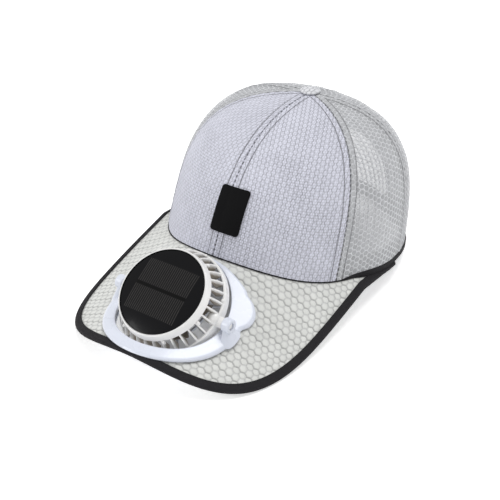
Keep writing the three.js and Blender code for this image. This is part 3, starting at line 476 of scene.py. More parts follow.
def new_group(name, inputs, outputs):
    """Empty node group with named sockets: inputs as name to (type, default), outputs as name to type."""
    tree = bpy.data.node_groups.new(name, "ShaderNodeTree")
    for key, (kind, value) in inputs.items():
        socket = tree.interface.new_socket(key, in_out="INPUT", socket_type=kind)
        if value is not None:
            socket.default_value = value
    for key, kind in outputs.items():
        tree.interface.new_socket(key, in_out="OUTPUT", socket_type=kind)
    return tree, tree.nodes.new("NodeGroupInput").outputs, tree.nodes.new("NodeGroupOutput").inputs


def use(tree, group, **inputs):
    """Places a group in a tree, with its own values. Underscores in names stand for spaces."""
    made = tree.nodes.new("ShaderNodeGroup")
    made.node_tree = group
    for key, value in inputs.items():
        key = key.replace("_", " ")
        if isinstance(value, bpy.types.NodeSocket):
            tree.links.new(value, made.inputs[key])
        else:
            made.inputs[key].default_value = value
    return made.outputs


# %% [markdown]
# ### Honeycomb net
# The crown and the peak are covered in knitted net with six-sided cells. A hexagon grid is two
# offset grids of rectangles: each point belongs to the nearer centre of the two, and its distance
# from that centre, measured square to the sides, gives a pillow for every cell.

# %% Honeycomb group
ROOT_3 = math.sqrt(3)


def honeycomb_group():
    """Edge goes from 0 in a cell's middle to 1 on its rim. Up goes from -1 to 1 up the cell."""
    tree, given, out = new_group("Honeycomb net", {
        "Place": ("NodeSocketVector", None), "Cell width": ("NodeSocketFloat", 0.0027),
        "Cell height": ("NodeSocketFloat", 0.0054)},
        {"Edge": "NodeSocketFloat", "Up": "NodeSocketFloat", "Cell": "NodeSocketFloat"})
    x, y, _ = split(tree, given["Place"])
    x = maths(tree, "DIVIDE", x, given["Cell width"])
    y = maths(tree, "DIVIDE", times(tree, y, 2 / ROOT_3), given["Cell height"])
    place = add(tree, "ShaderNodeCombineXYZ", {0: x, 1: y}).outputs[0]
    half = (0.5, ROOT_3 / 2, 0.5)
    minus = (-0.5, -ROOT_3 / 2, -0.5)
    first = vectors(tree, "WRAP", place, half, minus)
    second = vectors(tree, "WRAP", vectors(tree, "SUBTRACT", place, half), half, minus)
    nearer = maths(tree, "LESS_THAN", *[vectors(tree, "DOT_PRODUCT", away, away) for away in (first, second)])
    local = add(tree, "ShaderNodeMix", {0: nearer, 4: second, 5: first}, data_type="VECTOR").outputs[1]
    size = vectors(tree, "ABSOLUTE", local)
    slant = vectors(tree, "DOT_PRODUCT", size, (0.5, ROOT_3 / 2, 0.0))
    tree.links.new(times(tree, maths(tree, "MAXIMUM", slant, split(tree, size)[0]), 2.0), out["Edge"])
    tree.links.new(times(tree, split(tree, local)[1], ROOT_3), out["Up"])
    centre = vectors(tree, "SUBTRACT", place, local)
    tree.links.new(add(tree, "ShaderNodeTexWhiteNoise", {0: centre}, noise_dimensions="2D").outputs[0], out["Cell"])
    return tree


HONEYCOMB = honeycomb_group()


# %% [markdown]
# ### Woven tape, slow drift and grain
# Tape is woven with fine cross ribs. Drift is the soft unevenness of tone that any dyed cloth has.
# Grain is the very fine roughness of moulded plastic and rubber.

# %% Tape, drift and grain groups
def tape_group():
    """Ribs across the tape and finer threads along it, as two waves over its own length and width."""
    tree, given, out = new_group("Woven tape", {
        "Place": ("NodeSocketVector", None), "Rib": ("NodeSocketFloat", 0.0009)}, {"Height": "NodeSocketFloat"})
    x, y, _ = split(tree, given["Place"])
    waves = [maths(tree, "DIVIDE", times(tree, value, turns), given["Rib"])
             for value, turns in ((x, 2 * math.pi), (y, 3 * math.pi))]
    ribs, threads = [maths(tree, "ABSOLUTE", maths(tree, "SINE", wave)) for wave in waves]
    tree.links.new(times(tree, ribs, threads), out["Height"])
    return tree


def noise(tree, place, scale, detail):
    """Smooth noise between 0 and 1."""
    return add(tree, "ShaderNodeTexNoise", {"Vector": place, "Scale": scale, "Detail": detail}).outputs[0]


def wander(tree, place, scale, detail, amount):
    """Smooth noise about 0."""
    return times(tree, maths(tree, "SUBTRACT", noise(tree, place, scale, detail), 0.5), amount)


def drift_group():
    """Slow noise about 1, for a colour to be multiplied by."""
    tree, given, out = new_group("Slow drift", {
        "Place": ("NodeSocketVector", None), "Scale": ("NodeSocketFloat", 40.0),
        "Amount": ("NodeSocketFloat", 0.06)}, {"Tone": "NodeSocketFloat"})
    swing = wander(tree, given["Place"], given["Scale"], 3.0, times(tree, given["Amount"], 2.0))
    tree.links.new(maths(tree, "ADD", swing, 1.0), out["Tone"])
    return tree


def grain_group():
    """Fine noise as a height, and a roughness that wanders a little round its middle."""
    tree, given, out = new_group("Fine grain", {
        "Place": ("NodeSocketVector", None), "Scale": ("NodeSocketFloat", 900.0),
        "Roughness": ("NodeSocketFloat", 0.3)}, {"Height": "NodeSocketFloat", "Roughness": "NodeSocketFloat"})
    tree.links.new(noise(tree, given["Place"], given["Scale"], 2.0), out["Height"])
    swing = wander(tree, given["Place"], 60.0, 3.0, 0.2)
    tree.links.new(maths(tree, "ADD", given["Roughness"], swing), out["Roughness"])
    return tree


TAPE_WEAVE, DRIFT, GRAIN = tape_group(), drift_group(), grain_group()


def drift(tree, place, scale, amount):
    """Tone about 1 that changes slowly over a surface."""
    return use(tree, DRIFT, Place=place, Scale=scale, Amount=amount)["Tone"]


def begin(name, **settings):
    """New material with a Principled shader, its sockets set by name."""
    made = bpy.data.materials.new(name)
    made.use_nodes = True
    tree = made.node_tree
    tree.nodes.clear()
    shader = add(tree, "ShaderNodeBsdfPrincipled", settings)
    out = add(tree, "ShaderNodeOutputMaterial")
    tree.links.new(shader.outputs[0], out.inputs[0])
    return made, tree, shader


def scaled(tree, colour, tone):
    """Colour multiplied by a tone near 1."""
    tint = add(tree, "ShaderNodeCombineColor", {0: tone, 1: tone, 2: tone}).outputs[0]
    sides = {0: 1.0, 6: colour, 7: tint}
    return add(tree, "ShaderNodeMix", sides, data_type="RGBA", blend_type="MULTIPLY").outputs[2]


def bump(tree, shader, height, distance):
    """Feeds a height to the shader's normal."""
    made = add(tree, "ShaderNodeBump", {"Height": height, "Distance": distance, "Strength": 1.0})
    tree.links.new(made.outputs[0], shader.inputs["Normal"])


def on_cloth(tree):
    """Place on the cloth or the tape, in metres along and across it."""
    return add(tree, "ShaderNodeUVMap", uv_map="cloth").outputs[0]


def fact(tree, name):
    """Number stored on the points of the mesh."""
    return add(tree, "ShaderNodeAttribute", attribute_name=name).outputs["Fac"]


# %% [markdown]
# ### Cloth finishes
# The front panels carry the net over a lavender-grey lining, so they are closed. The side and back
# panels are the net alone: light passes its cells, and the arch and the strap behind can be seen
# through it. The peak's net is a larger one, stretched over a pale board, each cell bright with a
# dark line of painted shade below it.

# %% Net finishes
STITCH_OFF, SEAM_FAR = 4.7, 40.0  # millimetres from the seam
JOIN_PITCH = 0.0036  # metres from one joining stitch to the next
RIM, CLEAR = (0.66, 0.98), (0.72, 0.93)  # where a cell's rim begins and ends, and where its hole ends


def seam_marks_and_shade(tree, place, distance):
    """Dark marks of a seam, partly thread and needle holes and partly painted shade: the dashes of the joining stitch
    over a painted shade in its valley, and a thin painted shade in the groove under each outer row of stitches. The
    second result is 1 on the doubled cloth between those rows."""
    wave = maths(tree, "SINE", times(tree, split(tree, place)[1], 2 * math.pi / JOIN_PITCH))
    dash = maths(tree, "ADD", times(tree, step_between(tree, wave, -0.4, 0.3), 0.62), 0.14)
    centre = times(tree, less(tree, step_between(tree, distance, 0.25, 0.85)), dash)
    off = maths(tree, "ABSOLUTE", maths(tree, "SUBTRACT", distance, STITCH_OFF))
    groove = times(tree, less(tree, step_between(tree, off, 0.15, 0.65)), 0.62)
    return maths(tree, "ADD", centre, groove), less(tree, step_between(tree, distance, STITCH_OFF, STITCH_OFF + 0.5))


def net_finish(name, thread, cell, width, height, relief, upright=False, rim_shade=0.17, see_through=0.0,
               lining=0.0, band_dark=0.0):
    """Net of one thread colour over cells of another. The rim of a cell carries a painted shade on its low side. With
    upright, the cells stand in columns and the painted shade lies on their left and right sides instead. see_through
    is how clear a cell is, lining is how strongly the finer cloth behind shows through as a fleck, and
    band_dark is how much darker the cells are on the doubled cloth of a seam."""
    made, tree, shader = begin(name, **{"Roughness": 0.85, "Sheen Weight": 0.08, "Specular IOR Level": 0.25})
    place = on_cloth(tree)
    x, y, _ = split(tree, place)
    grid = add(tree, "ShaderNodeCombineXYZ", {0: y, 1: x}).outputs[0] if upright else place
    net = use(tree, HONEYCOMB, Place=grid, Cell_width=width, Cell_height=height)
    rim = step_between(tree, net["Edge"], *RIM)
    # Painted shade on each cell's rim: on its left and right sides when upright, else on its low side.
    if upright:
        weight = times(tree, maths(tree, "ABSOLUTE", net["Up"]), 1.1)
    else:
        weight = maths(tree, "ADD", step_between(tree, times(tree, net["Up"], -1.0), -0.3, 0.9), 0.35)
    uneven = maths(tree, "ADD", times(tree, net["Cell"], 0.07), 0.965)
    tone = times(tree, drift(tree, place, 38.0, 0.07), less(tree, times(tree, rim, weight, rim_shade)), uneven)
    if lining:
        fine = use(tree, HONEYCOMB, Place=place, Cell_width=0.0018, Cell_height=0.0025)
        fleck = step_between(tree, fine["Edge"], 0.45, 1.0)
        tone = times(tree, tone, less(tree, times(tree, fleck, drift(tree, place, 24.0, 1.3), lining)))
    # The stitch dashes and the painted shade in the seam's valley and grooves.
    marks, doubled = seam_marks_and_shade(tree, place, fact(tree, "seam"))
    tone = times(tree, tone, less(tree, marks))
    if band_dark:
        shade = maths(tree, "ADD", times(tree, less(tree, rim), 0.8), 0.2)
        tone = times(tree, tone, less(tree, times(tree, doubled, shade, band_dark)))
    tree.links.new(scaled(tree, blend(tree, rim, cell, thread), tone), shader.inputs["Base Color"])
    bump(tree, shader, less(tree, maths(tree, "POWER", net["Edge"], 2.5)), relief)
    if see_through:
        hole = less(tree, step_between(tree, net["Edge"], *CLEAR))
        clear = times(tree, hole, see_through, less(tree, times(tree, doubled, 0.8)))
        tree.links.new(less(tree, clear), shader.inputs["Alpha"])
    return made


FRONT_NET = net_finish("front net", grey(0.65, (0.96, 0.97, 1.09)), grey(0.725, (0.96, 0.97, 1.10)),
                       0.0046, 0.0040, 0.0003, upright=True, lining=0.24)
SIDE_NET = net_finish("side net", grey(0.72, (0.98, 0.995, 1.03)), grey(0.62, (0.98, 0.995, 1.03)),
                      0.0042, 0.0045, 0.0004, upright=True, rim_shade=0.12, see_through=0.46, band_dark=0.22)
PEAK_NET = net_finish("peak net", grey(0.63, (1.0, 1.01, 0.985)), grey(0.70, (1.0, 1.01, 0.975)),
                      0.0068, 0.0061, 0.0005)


# %% Tape, thread and rubber finishes
def tape_finish():
    """Black woven tape: dark ribs, painted a little lighter on their crowns and darker in their hollows, as light and
    shade on the weave.
    """
    made, tree, shader = begin("black tape", **{"Roughness": 0.85, "Specular IOR Level": 0.2})
    place = on_cloth(tree)
    weave = use(tree, TAPE_WEAVE, Place=place, Rib=0.0011)["Height"]
    # Painted light and shade of the weave: hollows darker, crowns lighter.
    colour = blend(tree, weave, grey(0.012, (1.0, 0.95, 1.06)), grey(0.034, (1.0, 0.95, 1.08)))
    tree.links.new(scaled(tree, colour, drift(tree, place, 120.0, 0.12)), shader.inputs["Base Color"])
    bump(tree, shader, weave, 0.00012)
    return made


def plain_finish(name, colour, roughness, grain=700.0, relief=0.00002, uneven=0.03, coat=0.0, metal=0.0,
                 shine=0.5, painted_shade=None):
    """Moulded or rubbery finish: even colour with a slight drift, and a fine grain. With a shade colour given, the
    faces that the attribute marks as inside take that colour: painted shade on the inside of a fan's wall."""
    made, tree, shader = begin(name, **{
        "Coat Weight": coat, "Coat Roughness": 0.12, "Metallic": metal, "Specular IOR Level": shine})
    # Painted shade: faces marked inside take the given darker colour.
    if painted_shade:
        colour = blend(tree, fact(tree, "inside"), colour, painted_shade)
    place = add(tree, "ShaderNodeTexCoord").outputs["Object"]
    fine = use(tree, GRAIN, Place=place, Scale=grain, Roughness=roughness)
    tree.links.new(scaled(tree, colour, drift(tree, place, 30.0, uneven)), shader.inputs["Base Color"])
    tree.links.new(fine["Roughness"], shader.inputs["Roughness"])
    bump(tree, shader, fine["Height"], relief)
    return made


def thread_finish(name, colour, roughness):
    """Matt sewing thread."""
    return plain_finish(name, colour, roughness, 900.0, 0.00005, shine=0.2)


BLACK_TAPE = tape_finish()
THREAD = thread_finish("grey thread", grey(0.40, (0.98, 0.98, 1.05)), 0.7)
BLACK_THREAD = thread_finish("black thread", grey(0.02), 0.6)
BLACK_RUBBER = plain_finish("black rubber", grey(0.005, (1.0, 1.0, 1.12)), 0.60, 1400.0, 0.00006, 0.1, shine=0.06)
WHITE_PLASTIC = plain_finish("white plastic", grey(0.765, (0.935, 0.98, 1.10)), 0.28,
                             relief=0.00001, uneven=0.012, coat=0.3)
# Its inner faces are painted a darker warm grey, as shade inside the slotted wall.
RIM_PLASTIC = plain_finish("housing plastic", grey(0.85, (1.0, 0.995, 0.985)), 0.30,
                           relief=0.00001, uneven=0.02, coat=0.3, painted_shade=grey(0.40, (1.12, 0.99, 0.84)))
GREY_PLASTIC = plain_finish("blade plastic", grey(0.26, (1.12, 0.99, 0.84)), 0.38, uneven=0.04, coat=0.1)
MOTOR_METAL = plain_finish("plated can", grey(0.45), 0.32, 500.0, uneven=0.06, metal=1.0)


# %% [markdown]
# ### Solar cell
# Black cells lie under clear resin. What shows are their fine silver lines, in two rows with a dark
# band between them, inside a plain black margin.

# %% Solar finish
LINE_STEP, CELL_HALF_X, CELL_HALF_Y = 0.0017, 0.0215, 0.0195  # metres
BAND = (0.0010, 0.0016)  # where the band's soft edge begins and ends, from the middle


def solar_finish():
    """Lines at equal steps across the cell, cut off at its border and at the band through its middle."""
    made, tree, shader = begin("solar resin", **{
        "Roughness": 0.20, "Coat Weight": 0.06, "Coat Roughness": 0.05, "Specular IOR Level": 0.10})
    place = on_cloth(tree)
    x, y, _ = split(tree, place)
    aside, up = [maths(tree, "ABSOLUTE", value) for value in (x, y)]
    step = maths(tree, "FRACT", maths(tree, "DIVIDE", x, LINE_STEP))
    line = less(tree, step_between(tree, maths(tree, "ABSOLUTE", maths(tree, "SUBTRACT", step, 0.5)), 0.06, 0.16))
    inside = times(tree, maths(tree, "LESS_THAN", aside, CELL_HALF_X), maths(tree, "LESS_THAN", up, CELL_HALF_Y))
    beyond = step_between(tree, up, *BAND)
    cell = blend(tree, inside, grey(0.006, (1, 1, 1.15)), grey(0.010, (1.0, 0.98, 1.05)))
    dark = blend(tree, times(tree, inside, less(tree, beyond)), cell, grey(0.004))
    silver = scaled(tree, grey(0.050, (1.05, 1.0, 0.96)), drift(tree, place, 400.0, 0.35))
    tree.links.new(blend(tree, times(tree, line, inside, beyond), dark, silver), shader.inputs["Base Color"])
    return made


SOLAR = solar_finish()


# %% [markdown]
# ## Crown
# Six cloth gores meet at the button. Each is a shell between an outer and an inner grid, with more
# columns near its seams, where the cloth turns in. Seen close, a cap's seam is a valley between two
# rows of stitches, on a band that stands a little proud because the cloth is doubled under it.

# %% Seams and puckers in the cloth
def seam_profile(distance):
    """Height of the cloth near a seam: a doubled band, a narrow valley, and a groove under each row of
    stitches."""
    band = 0.40 * np.exp(-(distance / 5.4) ** 6)
    valley = 0.70 * np.exp(-(distance / 0.6) ** 2)
    pulled = 0.30 * np.exp(-((distance - STITCH_OFF) / 0.6) ** 2)
    return band - valley - pulled


def pucker(run, up, distance):
    """Small ripples that the stitches draw into the cloth, gone within a few millimetres, and a slow
    unevenness of the whole panel."""
    near = np.exp(-distance / 5.0)
    ripple = 0.16 * near * np.sin(up / 1.35 + 1.7 * np.sin(up / 11.0))
    slow = 0.35 * np.sin(run / 17.0 + 0.6 * np.sin(up / 23.0)) * np.sin(up / 29.0 + 1.3)
    return ripple + slow * (1 - near)


def row_shares(rows):
    """Shares of the height, crowded towards the apex, where the wall turns over."""
    power, flare = PROFILE["side"]
    tip = (1 - (TIP_RADIUS / (HALF_WIDTH * (1 + flare))) ** power) ** (1 / power)
    last = math.asin(tip ** (power / 2))
    return np.sin(last * np.linspace(0, 1, rows)) ** (2 / power)


def panel(low, high, share, columns=104):
    """Two grids and the cloth's own coordinates for one gore. low and high are bearings, one per row."""
    u = np.linspace(0, 1, columns)
    u = u - 0.90 * np.sin(2 * np.pi * u) / (2 * np.pi)
    bearing = low[:, None] + (high - low)[:, None] * u
    share = np.broadcast_to(share[:, None], bearing.shape)
    clear = 0.45 + 0.65 * ease(np.abs(bearing[0]), 0.95, 1.5)
    foot = share_at_height(bearing[0], hem_height(bearing[0], CLOTH / 2) + clear)
    share = share + foot * (1 - share) ** 8
    base = crown_base(bearing, share)
    return bearing, share, travel(base, 1), travel(base, 0)


def gore(low, high, share, closed_high=True):
    """Outer face, inner face, cloth coordinates and distance from the seam of one gore."""
    bearing, share, run, rise = panel(low, high, share)
    width = run[:, -1:]
    distance = np.minimum(run, width - run) if closed_high else run
    middle = rise[:, rise.shape[1] // 2][:, None]
    detail = (seam_profile(distance) + pucker(run - width / 2, middle, distance)) * ease(width, 4, 14)
    lift = crown_normal(bearing, share) * detail[..., None]
    outer, inner = crown_point(bearing, share) + lift, crown_point(bearing, share, CLOTH) + lift * 0.6
    uv = np.stack(np.broadcast_arrays(run - width / 2, middle), -1) / 1000
    return outer, inner, uv, np.minimum(distance, SEAM_FAR)


# %% [markdown]
# The two back gores stop at the arch opening. Each of their rows ends where the arch's outline meets
# that row, and the rows crowd towards the top of the arch, so its edge is a clean curve.

# %% Rows that end on the arch
def arch_rows(below=26, round_rows=30, above=46):
    """Share and end bearing of each row: straight sides, then the half circle, then up to the tip."""
    straight = ARCH_TOP - ARCH_HALF
    turn = np.linspace(0, np.pi / 2, round_rows)
    height = np.concatenate([np.linspace(HEM_BACK + 1, straight, below)[:-1], straight + ARCH_HALF * np.sin(turn)])
    half = np.concatenate([np.full(below - 1, ARCH_HALF), ARCH_HALF * np.cos(turn)])
    share = (height - HEM_BACK) / (HEIGHT - HEM_BACK)
    aim = half.copy()
    for _ in range(12):
        bearing = np.pi - bearing_at(np.clip(aim / (HALF_WIDTH * dome(share, *PROFILE["side"])), 0, 1))
        point = crown_point(bearing, share)
        aim = np.maximum(aim + (half - point[:, 0]), 0)
        share = share + (height - point[:, 2]) / (HEIGHT - HEM_BACK)
    share[0] = 0
    rest = row_shares(400)
    rest = np.interp(np.linspace(0, 1, above + 1)[1:], np.linspace(0, 1, (rest > share[-1]).sum() + 1),
                     np.concatenate([[share[-1]], rest[rest > share[-1]]]))
    return np.concatenate([share, rest]), np.concatenate([bearing, np.full(above, np.pi)])


# %% Make the six gores
def both_faces(uv):
    """The same cloth coordinates for a shell's outer and inner points."""
    return np.tile(uv.reshape(-1, 2), (2, 1))


def crown_piece(name, low, high, share, finish, closed_high=True):
    """One gore as an object."""
    outer, inner, uv, beside = gore(low, high, share, closed_high)
    piece = build(name + "_cloth", [shell(outer, inner)], finish, "cap", (name,), both_faces(uv),
                  {"seam": np.tile(beside.ravel(), 2)}, crease=70)


ROWS = row_shares(104)
EVEN = np.ones(len(ROWS))
for name, first, finish, slot in (
        ("panel_front_right", 2, FRONT_NET, "front_mesh"), ("panel_front_left", 3, FRONT_NET, "front_mesh"),
        ("panel_side_right", 1, SIDE_NET, "side_mesh"), ("panel_side_left", 4, SIDE_NET, "side_mesh")):
    crown_piece(name, SEAMS[first] * EVEN, SEAMS[first + 1] * EVEN, ROWS, finish)
back_share, back_end = arch_rows()
back_even = np.ones(len(back_share))
crown_piece("panel_back_left", SEAMS[5] * back_even, back_end, back_share, SIDE_NET, False)
crown_piece("panel_back_right", SEAMS[1] * back_even, -back_end, back_share, SIDE_NET, False)


# %% [markdown]
# ## Stitches
# Real thread is cheap here: one short stitch is a tube of a few dozen faces, and its copies are laid
# along the seam at equal steps, each turned to follow the cloth.

# %% Lay stitches along a line
def stitches(line, normal, pitch=3.0, length=2.3, radius=0.19):
    """Six-sided tubes that rise out of the cloth and sink again. line and normal are arrays of points."""
    sides, rings = 6, 6
    run = travel(line)
    centre = np.arange(pitch, run[-1] - pitch, pitch)
    t = np.linspace(-0.5, 0.5, rings)
    at = centre[:, None] + t * length
    pick = lambda values: np.stack([np.interp(at, run, values[:, k]) for k in range(3)], -1)
    middle, up = pick(line), unit(pick(normal))
    side = unit(np.cross(up, unit(np.gradient(middle, axis=1))))
    lift = ((np.cos(t * np.pi) * 1.6 - 0.8) * radius)[:, None]
    thick = (radius * np.sqrt(np.maximum(1 - (t * 2) ** 4, 0.02)))[:, None]
    rise, aside = lift + np.sin(circle(sides)) * thick, np.cos(circle(sides)) * thick
    tube = middle[:, :, None] + up[:, :, None] * rise[..., None] + side[:, :, None] * aside[..., None]
    ends = np.array([[0, 1, 2, 3], [0, 3, 4, 5]])
    faces = np.concatenate([quads(numbered(rings, sides)), ends[:, ::-1], ends + (rings - 1) * sides])
    return tube.reshape(-1, 3), repeated(faces, len(centre), rings * sides)


def seam_line(seam, off, stop=0.985, start=0.03):
    """Line on the cloth at a distance to one side of a seam, from near the hem to near the button."""
    share = np.interp(np.linspace(start, stop, 400), np.linspace(0, 1, 800), row_shares(800))
    bearing = np.full(share.shape, seam)
    width = np.linalg.norm(crown_base(bearing + 0.01, share) - crown_base(bearing - 0.01, share), axis=1) / 0.02
    room = width > 16
    share, width = share[room], width[room]
    beside = seam + off / width
    beside = np.where(beside > np.pi, beside - 2 * np.pi, beside)
    normal = crown_normal(beside, share)
    lift = seam_profile(np.full(share.shape, abs(off)))
    return crown_point(beside, share) + normal * (lift + 0.05)[:, None], normal


sewn = [seam_line(seam, off) for seam in SEAMS[1:6] for off in (-STITCH_OFF, STITCH_OFF)]
sewn += [seam_line(math.pi - 1e-4, off, start=0.62) for off in (-STITCH_OFF, STITCH_OFF)]
build("seam_stitches", [stitches(*row) for row in sewn], THREAD, "cap")

# %% [markdown]
# ## Button, hem band and strap
# The button is a small pressed dome covered in the same net. The hem band is black tape: it lines the
# foot of the wall and folds out under its edge, wider where it shows at the sides. The strap behind
# is hidden in the photograph, so it is one plain length of the same tape.

# %% Button
def button():
    """Low dome with a rounded rim, and six shallow tucks where the cover is gathered."""
    foot, radius, height = PUFF / 4 - 0.1, 7.9, 3.4
    t = np.linspace(0, np.pi / 2, 14)
    rim = height / 4
    profile = np.concatenate([[[0, foot], [radius - rim, foot]],
                              np.stack([radius * np.cos(t), foot + rim + (height - rim) * np.sin(t)], -1)])
    points, faces = turned(profile, 72)
    angle = np.arctan2(points[:, 1], points[:, 0])
    out = np.hypot(points[:, 0], points[:, 1]) / radius
    points[:, 2] -= 0.25 * np.abs(np.cos(3 * angle)) ** 12 * out * (1 - out) * 4 * (points[:, 2] > foot + 0.1)
    uv = points[:, :2] / 1000
    return (points + [0, APEX_BACK, HEIGHT], faces), uv


button_body, button_uv = button()
BUTTON_NET = net_finish("button net", grey(0.62, (0.98, 0.99, 1.03)), grey(0.72, (0.98, 0.99, 1.03)),
                        0.0046, 0.0042, 0.0004, upright=True)
build("button_cloth", [button_body], BUTTON_NET, "cap", ("top_button",), button_uv,
      {"seam": np.full(len(button_uv), SEAM_FAR)})


# %% Hem band
BAND_GAP, BAND_THICK, BAND_TALL = 0.45, 1.0, 14.0


def wall_at(bearing, height, depth):
    """Point of the wall at a height and a depth."""
    return crown_point(bearing, share_at_height(bearing, height, depth), depth)


def hem_band():
    """Ten-cornered section, carried along the hem between the arch's two feet."""
    foot = np.pi - bearing_at(ARCH_HALF / HALF_WIDTH)
    bearing = np.linspace(-foot, foot, 361)
    outer, inner = CLOTH + BAND_GAP, CLOTH + BAND_GAP + BAND_THICK
    side = ease(np.abs(bearing), 0.95, 1.35)
    proud = 0.1 + 0.5 * side
    sill = 0.40 + 0.40 * side
    lip = 0.40 + 4.00 * side - 2.2 * ease(np.abs(bearing), 1.8, 2.3)
    face = -0.05 + 1.80 * (1 - side)

    def leg(rise, depth):
        """One corner of the section, all the way along."""
        depth = np.broadcast_to(depth, bearing.shape)
        return wall_at(bearing, hem_height(bearing, depth) + rise, depth)

    corners = [(0, -proud), (0, inner), (BAND_TALL / 2, inner), (BAND_TALL, inner), (BAND_TALL, outer),
               (BAND_TALL / 2, outer), (sill, outer), (sill, face), (lip, face), (lip, -proud)]
    return np.stack([leg(*corner) for corner in corners], 1)


def along_uv(sections):
    """Tape coordinates: length along the path, and length round the section."""
    run = travel(sections.mean(1))
    round_run = np.linalg.norm(sections - np.roll(sections, 1, 1), axis=2).cumsum(1)
    uv = np.stack(np.broadcast_arrays(run[:, None], round_run), -1)
    return np.concatenate([uv[:1], uv, uv[-1:]]).reshape(-1, 2) / 1000


def tape_piece(name, sections, node):
    """Length of black tape as an object, from its cross-sections."""
    build(name, [loft(sections)], BLACK_TAPE, "cap", (node,), along_uv(sections), crease=50)


tape_piece("hem_tape", hem_band(), "hem_band")


# %% Rear strap
def strap():
    """Rounded flat section along the inside of the hem across the arch, its foot on the resting plane."""
    reach = bearing_at(ARCH_HALF / HALF_WIDTH) + 0.225
    turn = np.linspace(-reach, reach, 121)
    bearing = np.where(turn <= 0, turn + np.pi, turn - np.pi)
    near = CLOTH + BAND_THICK + 2 * BAND_GAP
    far = near + 1.5
    section = rounded([[near, 0], [far, 0], [far, BAND_TALL], [near, BAND_TALL]], 0.5, 3)
    grid = []
    for depth, rise in section:
        deep = np.full(bearing.shape, depth)
        point = wall_at(bearing, hem_height(bearing, deep) + rise, deep)
        point[:, 2] = HEM_BACK + REST_SLOPE * (point[:, 1] - BACK_REACH) + rise
        grid.append(point)
    return np.stack(grid, 1)


tape_piece("strap_tape", strap(), "rear_strap")


# %% [markdown]
# ## Front patch
# A flat rubber rectangle with round corners, glued to the front a little to one side of the seam. In
# the photograph it carries lettering; here it is left bare. Its edge is softly rounded.

# %% Patch
def on_front(x, length, depth):
    """Point on the crown's front at a distance aside and a length up the front seam."""
    share = np.linspace(0, 0.6, 400)
    share = np.interp(length, travel(crown_base(np.zeros(400), share)), share)
    girth = crown_base(np.full(share.shape, np.pi / 2), share)[..., 0]
    return crown_point(bearing_at(x / girth), share, depth)


def patch():
    """Rows up the patch, each as wide as the round corners allow; its top face drops along a quarter
    round at every edge."""
    width, tall, thick, corner, foot, aside = 23.5, 34.0, 1.2, 2.6, 18.5, 4.0
    t = 0.5 - 0.5 * np.cos(np.linspace(0, np.pi, 45))
    v, u = np.meshgrid(t * tall, t * 2 - 1, indexing="ij")
    edge = np.minimum(v, tall - v)
    bite = np.where(edge < corner, corner - np.sqrt(np.maximum(corner ** 2 - (corner - edge) ** 2, 0)), 0)
    half = width / 2 - bite
    near = np.minimum(edge, half * (1 - np.abs(u)))
    drop = 0.55 * quarter_round(near, 0.7)
    x = aside + u * half
    return on_front(x, foot + v, drop - SEAT - thick), on_front(x, foot + v, np.full(x.shape, -SEAT + 0.25))


build("patch_rubber", [shell(*patch())], BLACK_RUBBER, "cap", ("front_patch",), crease=60)

# %% [markdown]
# ## Peak and binding
# The board is one thin curved plate from under the hem to the outline. Cells of its grid that lie
# under the fan are left out, and the hole's edge is drawn onto a circle. Black tape is folded over
# its edge, and one row of stitches holds it.

# %% Peak board
def tape_width(stops):
    """Full width in front, and near the ends what room the hem band leaves."""
    hem = hem_plan(np.pi * (2 * np.arange(401) / 400 - 1))
    room = np.linalg.norm(stops[:, None] - hem[None], axis=2).min(1)
    return np.clip(room - 0.2 - SEAT, TAPE + SEAT / 2, TAPE_WIDTH)


SEAT_ANGLE = math.atan(float(peak_top(0.0, FAN_Y + 1) - peak_top(0.0, FAN_Y - 1)) / 2)
SEAT_NORMAL = np.array([0, -math.sin(SEAT_ANGLE), math.cos(SEAT_ANGLE)])
FAN_ROOM = 2.2  # from the flange's hole out to the hole in the peak


def on_peak(x, y, rise=0.0):
    """Point over the peak's upper face."""
    return np.stack([x, y, peak_top(x, y) + rise], -1)


def from_seat_axis(points):
    """The way out to each point from the line through the fan's centre, square to its seat."""
    off = points - np.array([0, FAN_Y, PIVOT_HEIGHT])
    return off - (off @ SEAT_NORMAL)[..., None] * SEAT_NORMAL


def peak_board(columns=176, rows=64):
    """Straight rows from the hem's root to the outline, with a fan hole."""
    stops, inward = outline(columns)
    bearing = np.linspace(-END_ANGLE, END_ANGLE, columns + 1)
    root = hem_plan(bearing) - hem_outward(bearing) * (CLOTH + BAND_GAP + BAND_THICK)
    edge = stops + inward * (TAPE + SEAT)
    v = np.linspace(0, 1, rows)[:, None, None]
    plan = root[None] * (1 - v) + edge[None] * v
    x, y = plan[..., 0], plan[..., 1]
    radial = from_seat_axis(on_peak(x, y))
    distance = np.linalg.norm(radial, axis=-1)
    hole = HOLE + FAN_ROOM
    inside = distance < hole
    keep = ~(inside[:-1, :-1] & inside[1:, :-1] & inside[:-1, 1:] & inside[1:, 1:])
    pull = radial * ((inside & (distance > 30)) * (hole / np.maximum(distance, 1) - 1))[..., None]
    x, y = x + pull[..., 0], y + pull[..., 1]
    across = 0.5 * (x * np.hypot(1, x / ARCH_RADIUS) + ARCH_RADIUS * np.arcsinh(x / ARCH_RADIUS))
    uv = np.stack([across, y * math.hypot(1, SLOPE)], -1) / 1000
    return shell(on_peak(x, y), on_peak(x, y, -BOARD), keep), both_faces(uv)


board, peak_uv = peak_board()
build("peak_cloth", [board], PEAK_NET, "cap", ("peak",), peak_uv,
      {"seam": np.full(len(peak_uv), SEAM_FAR)}, crease=60)


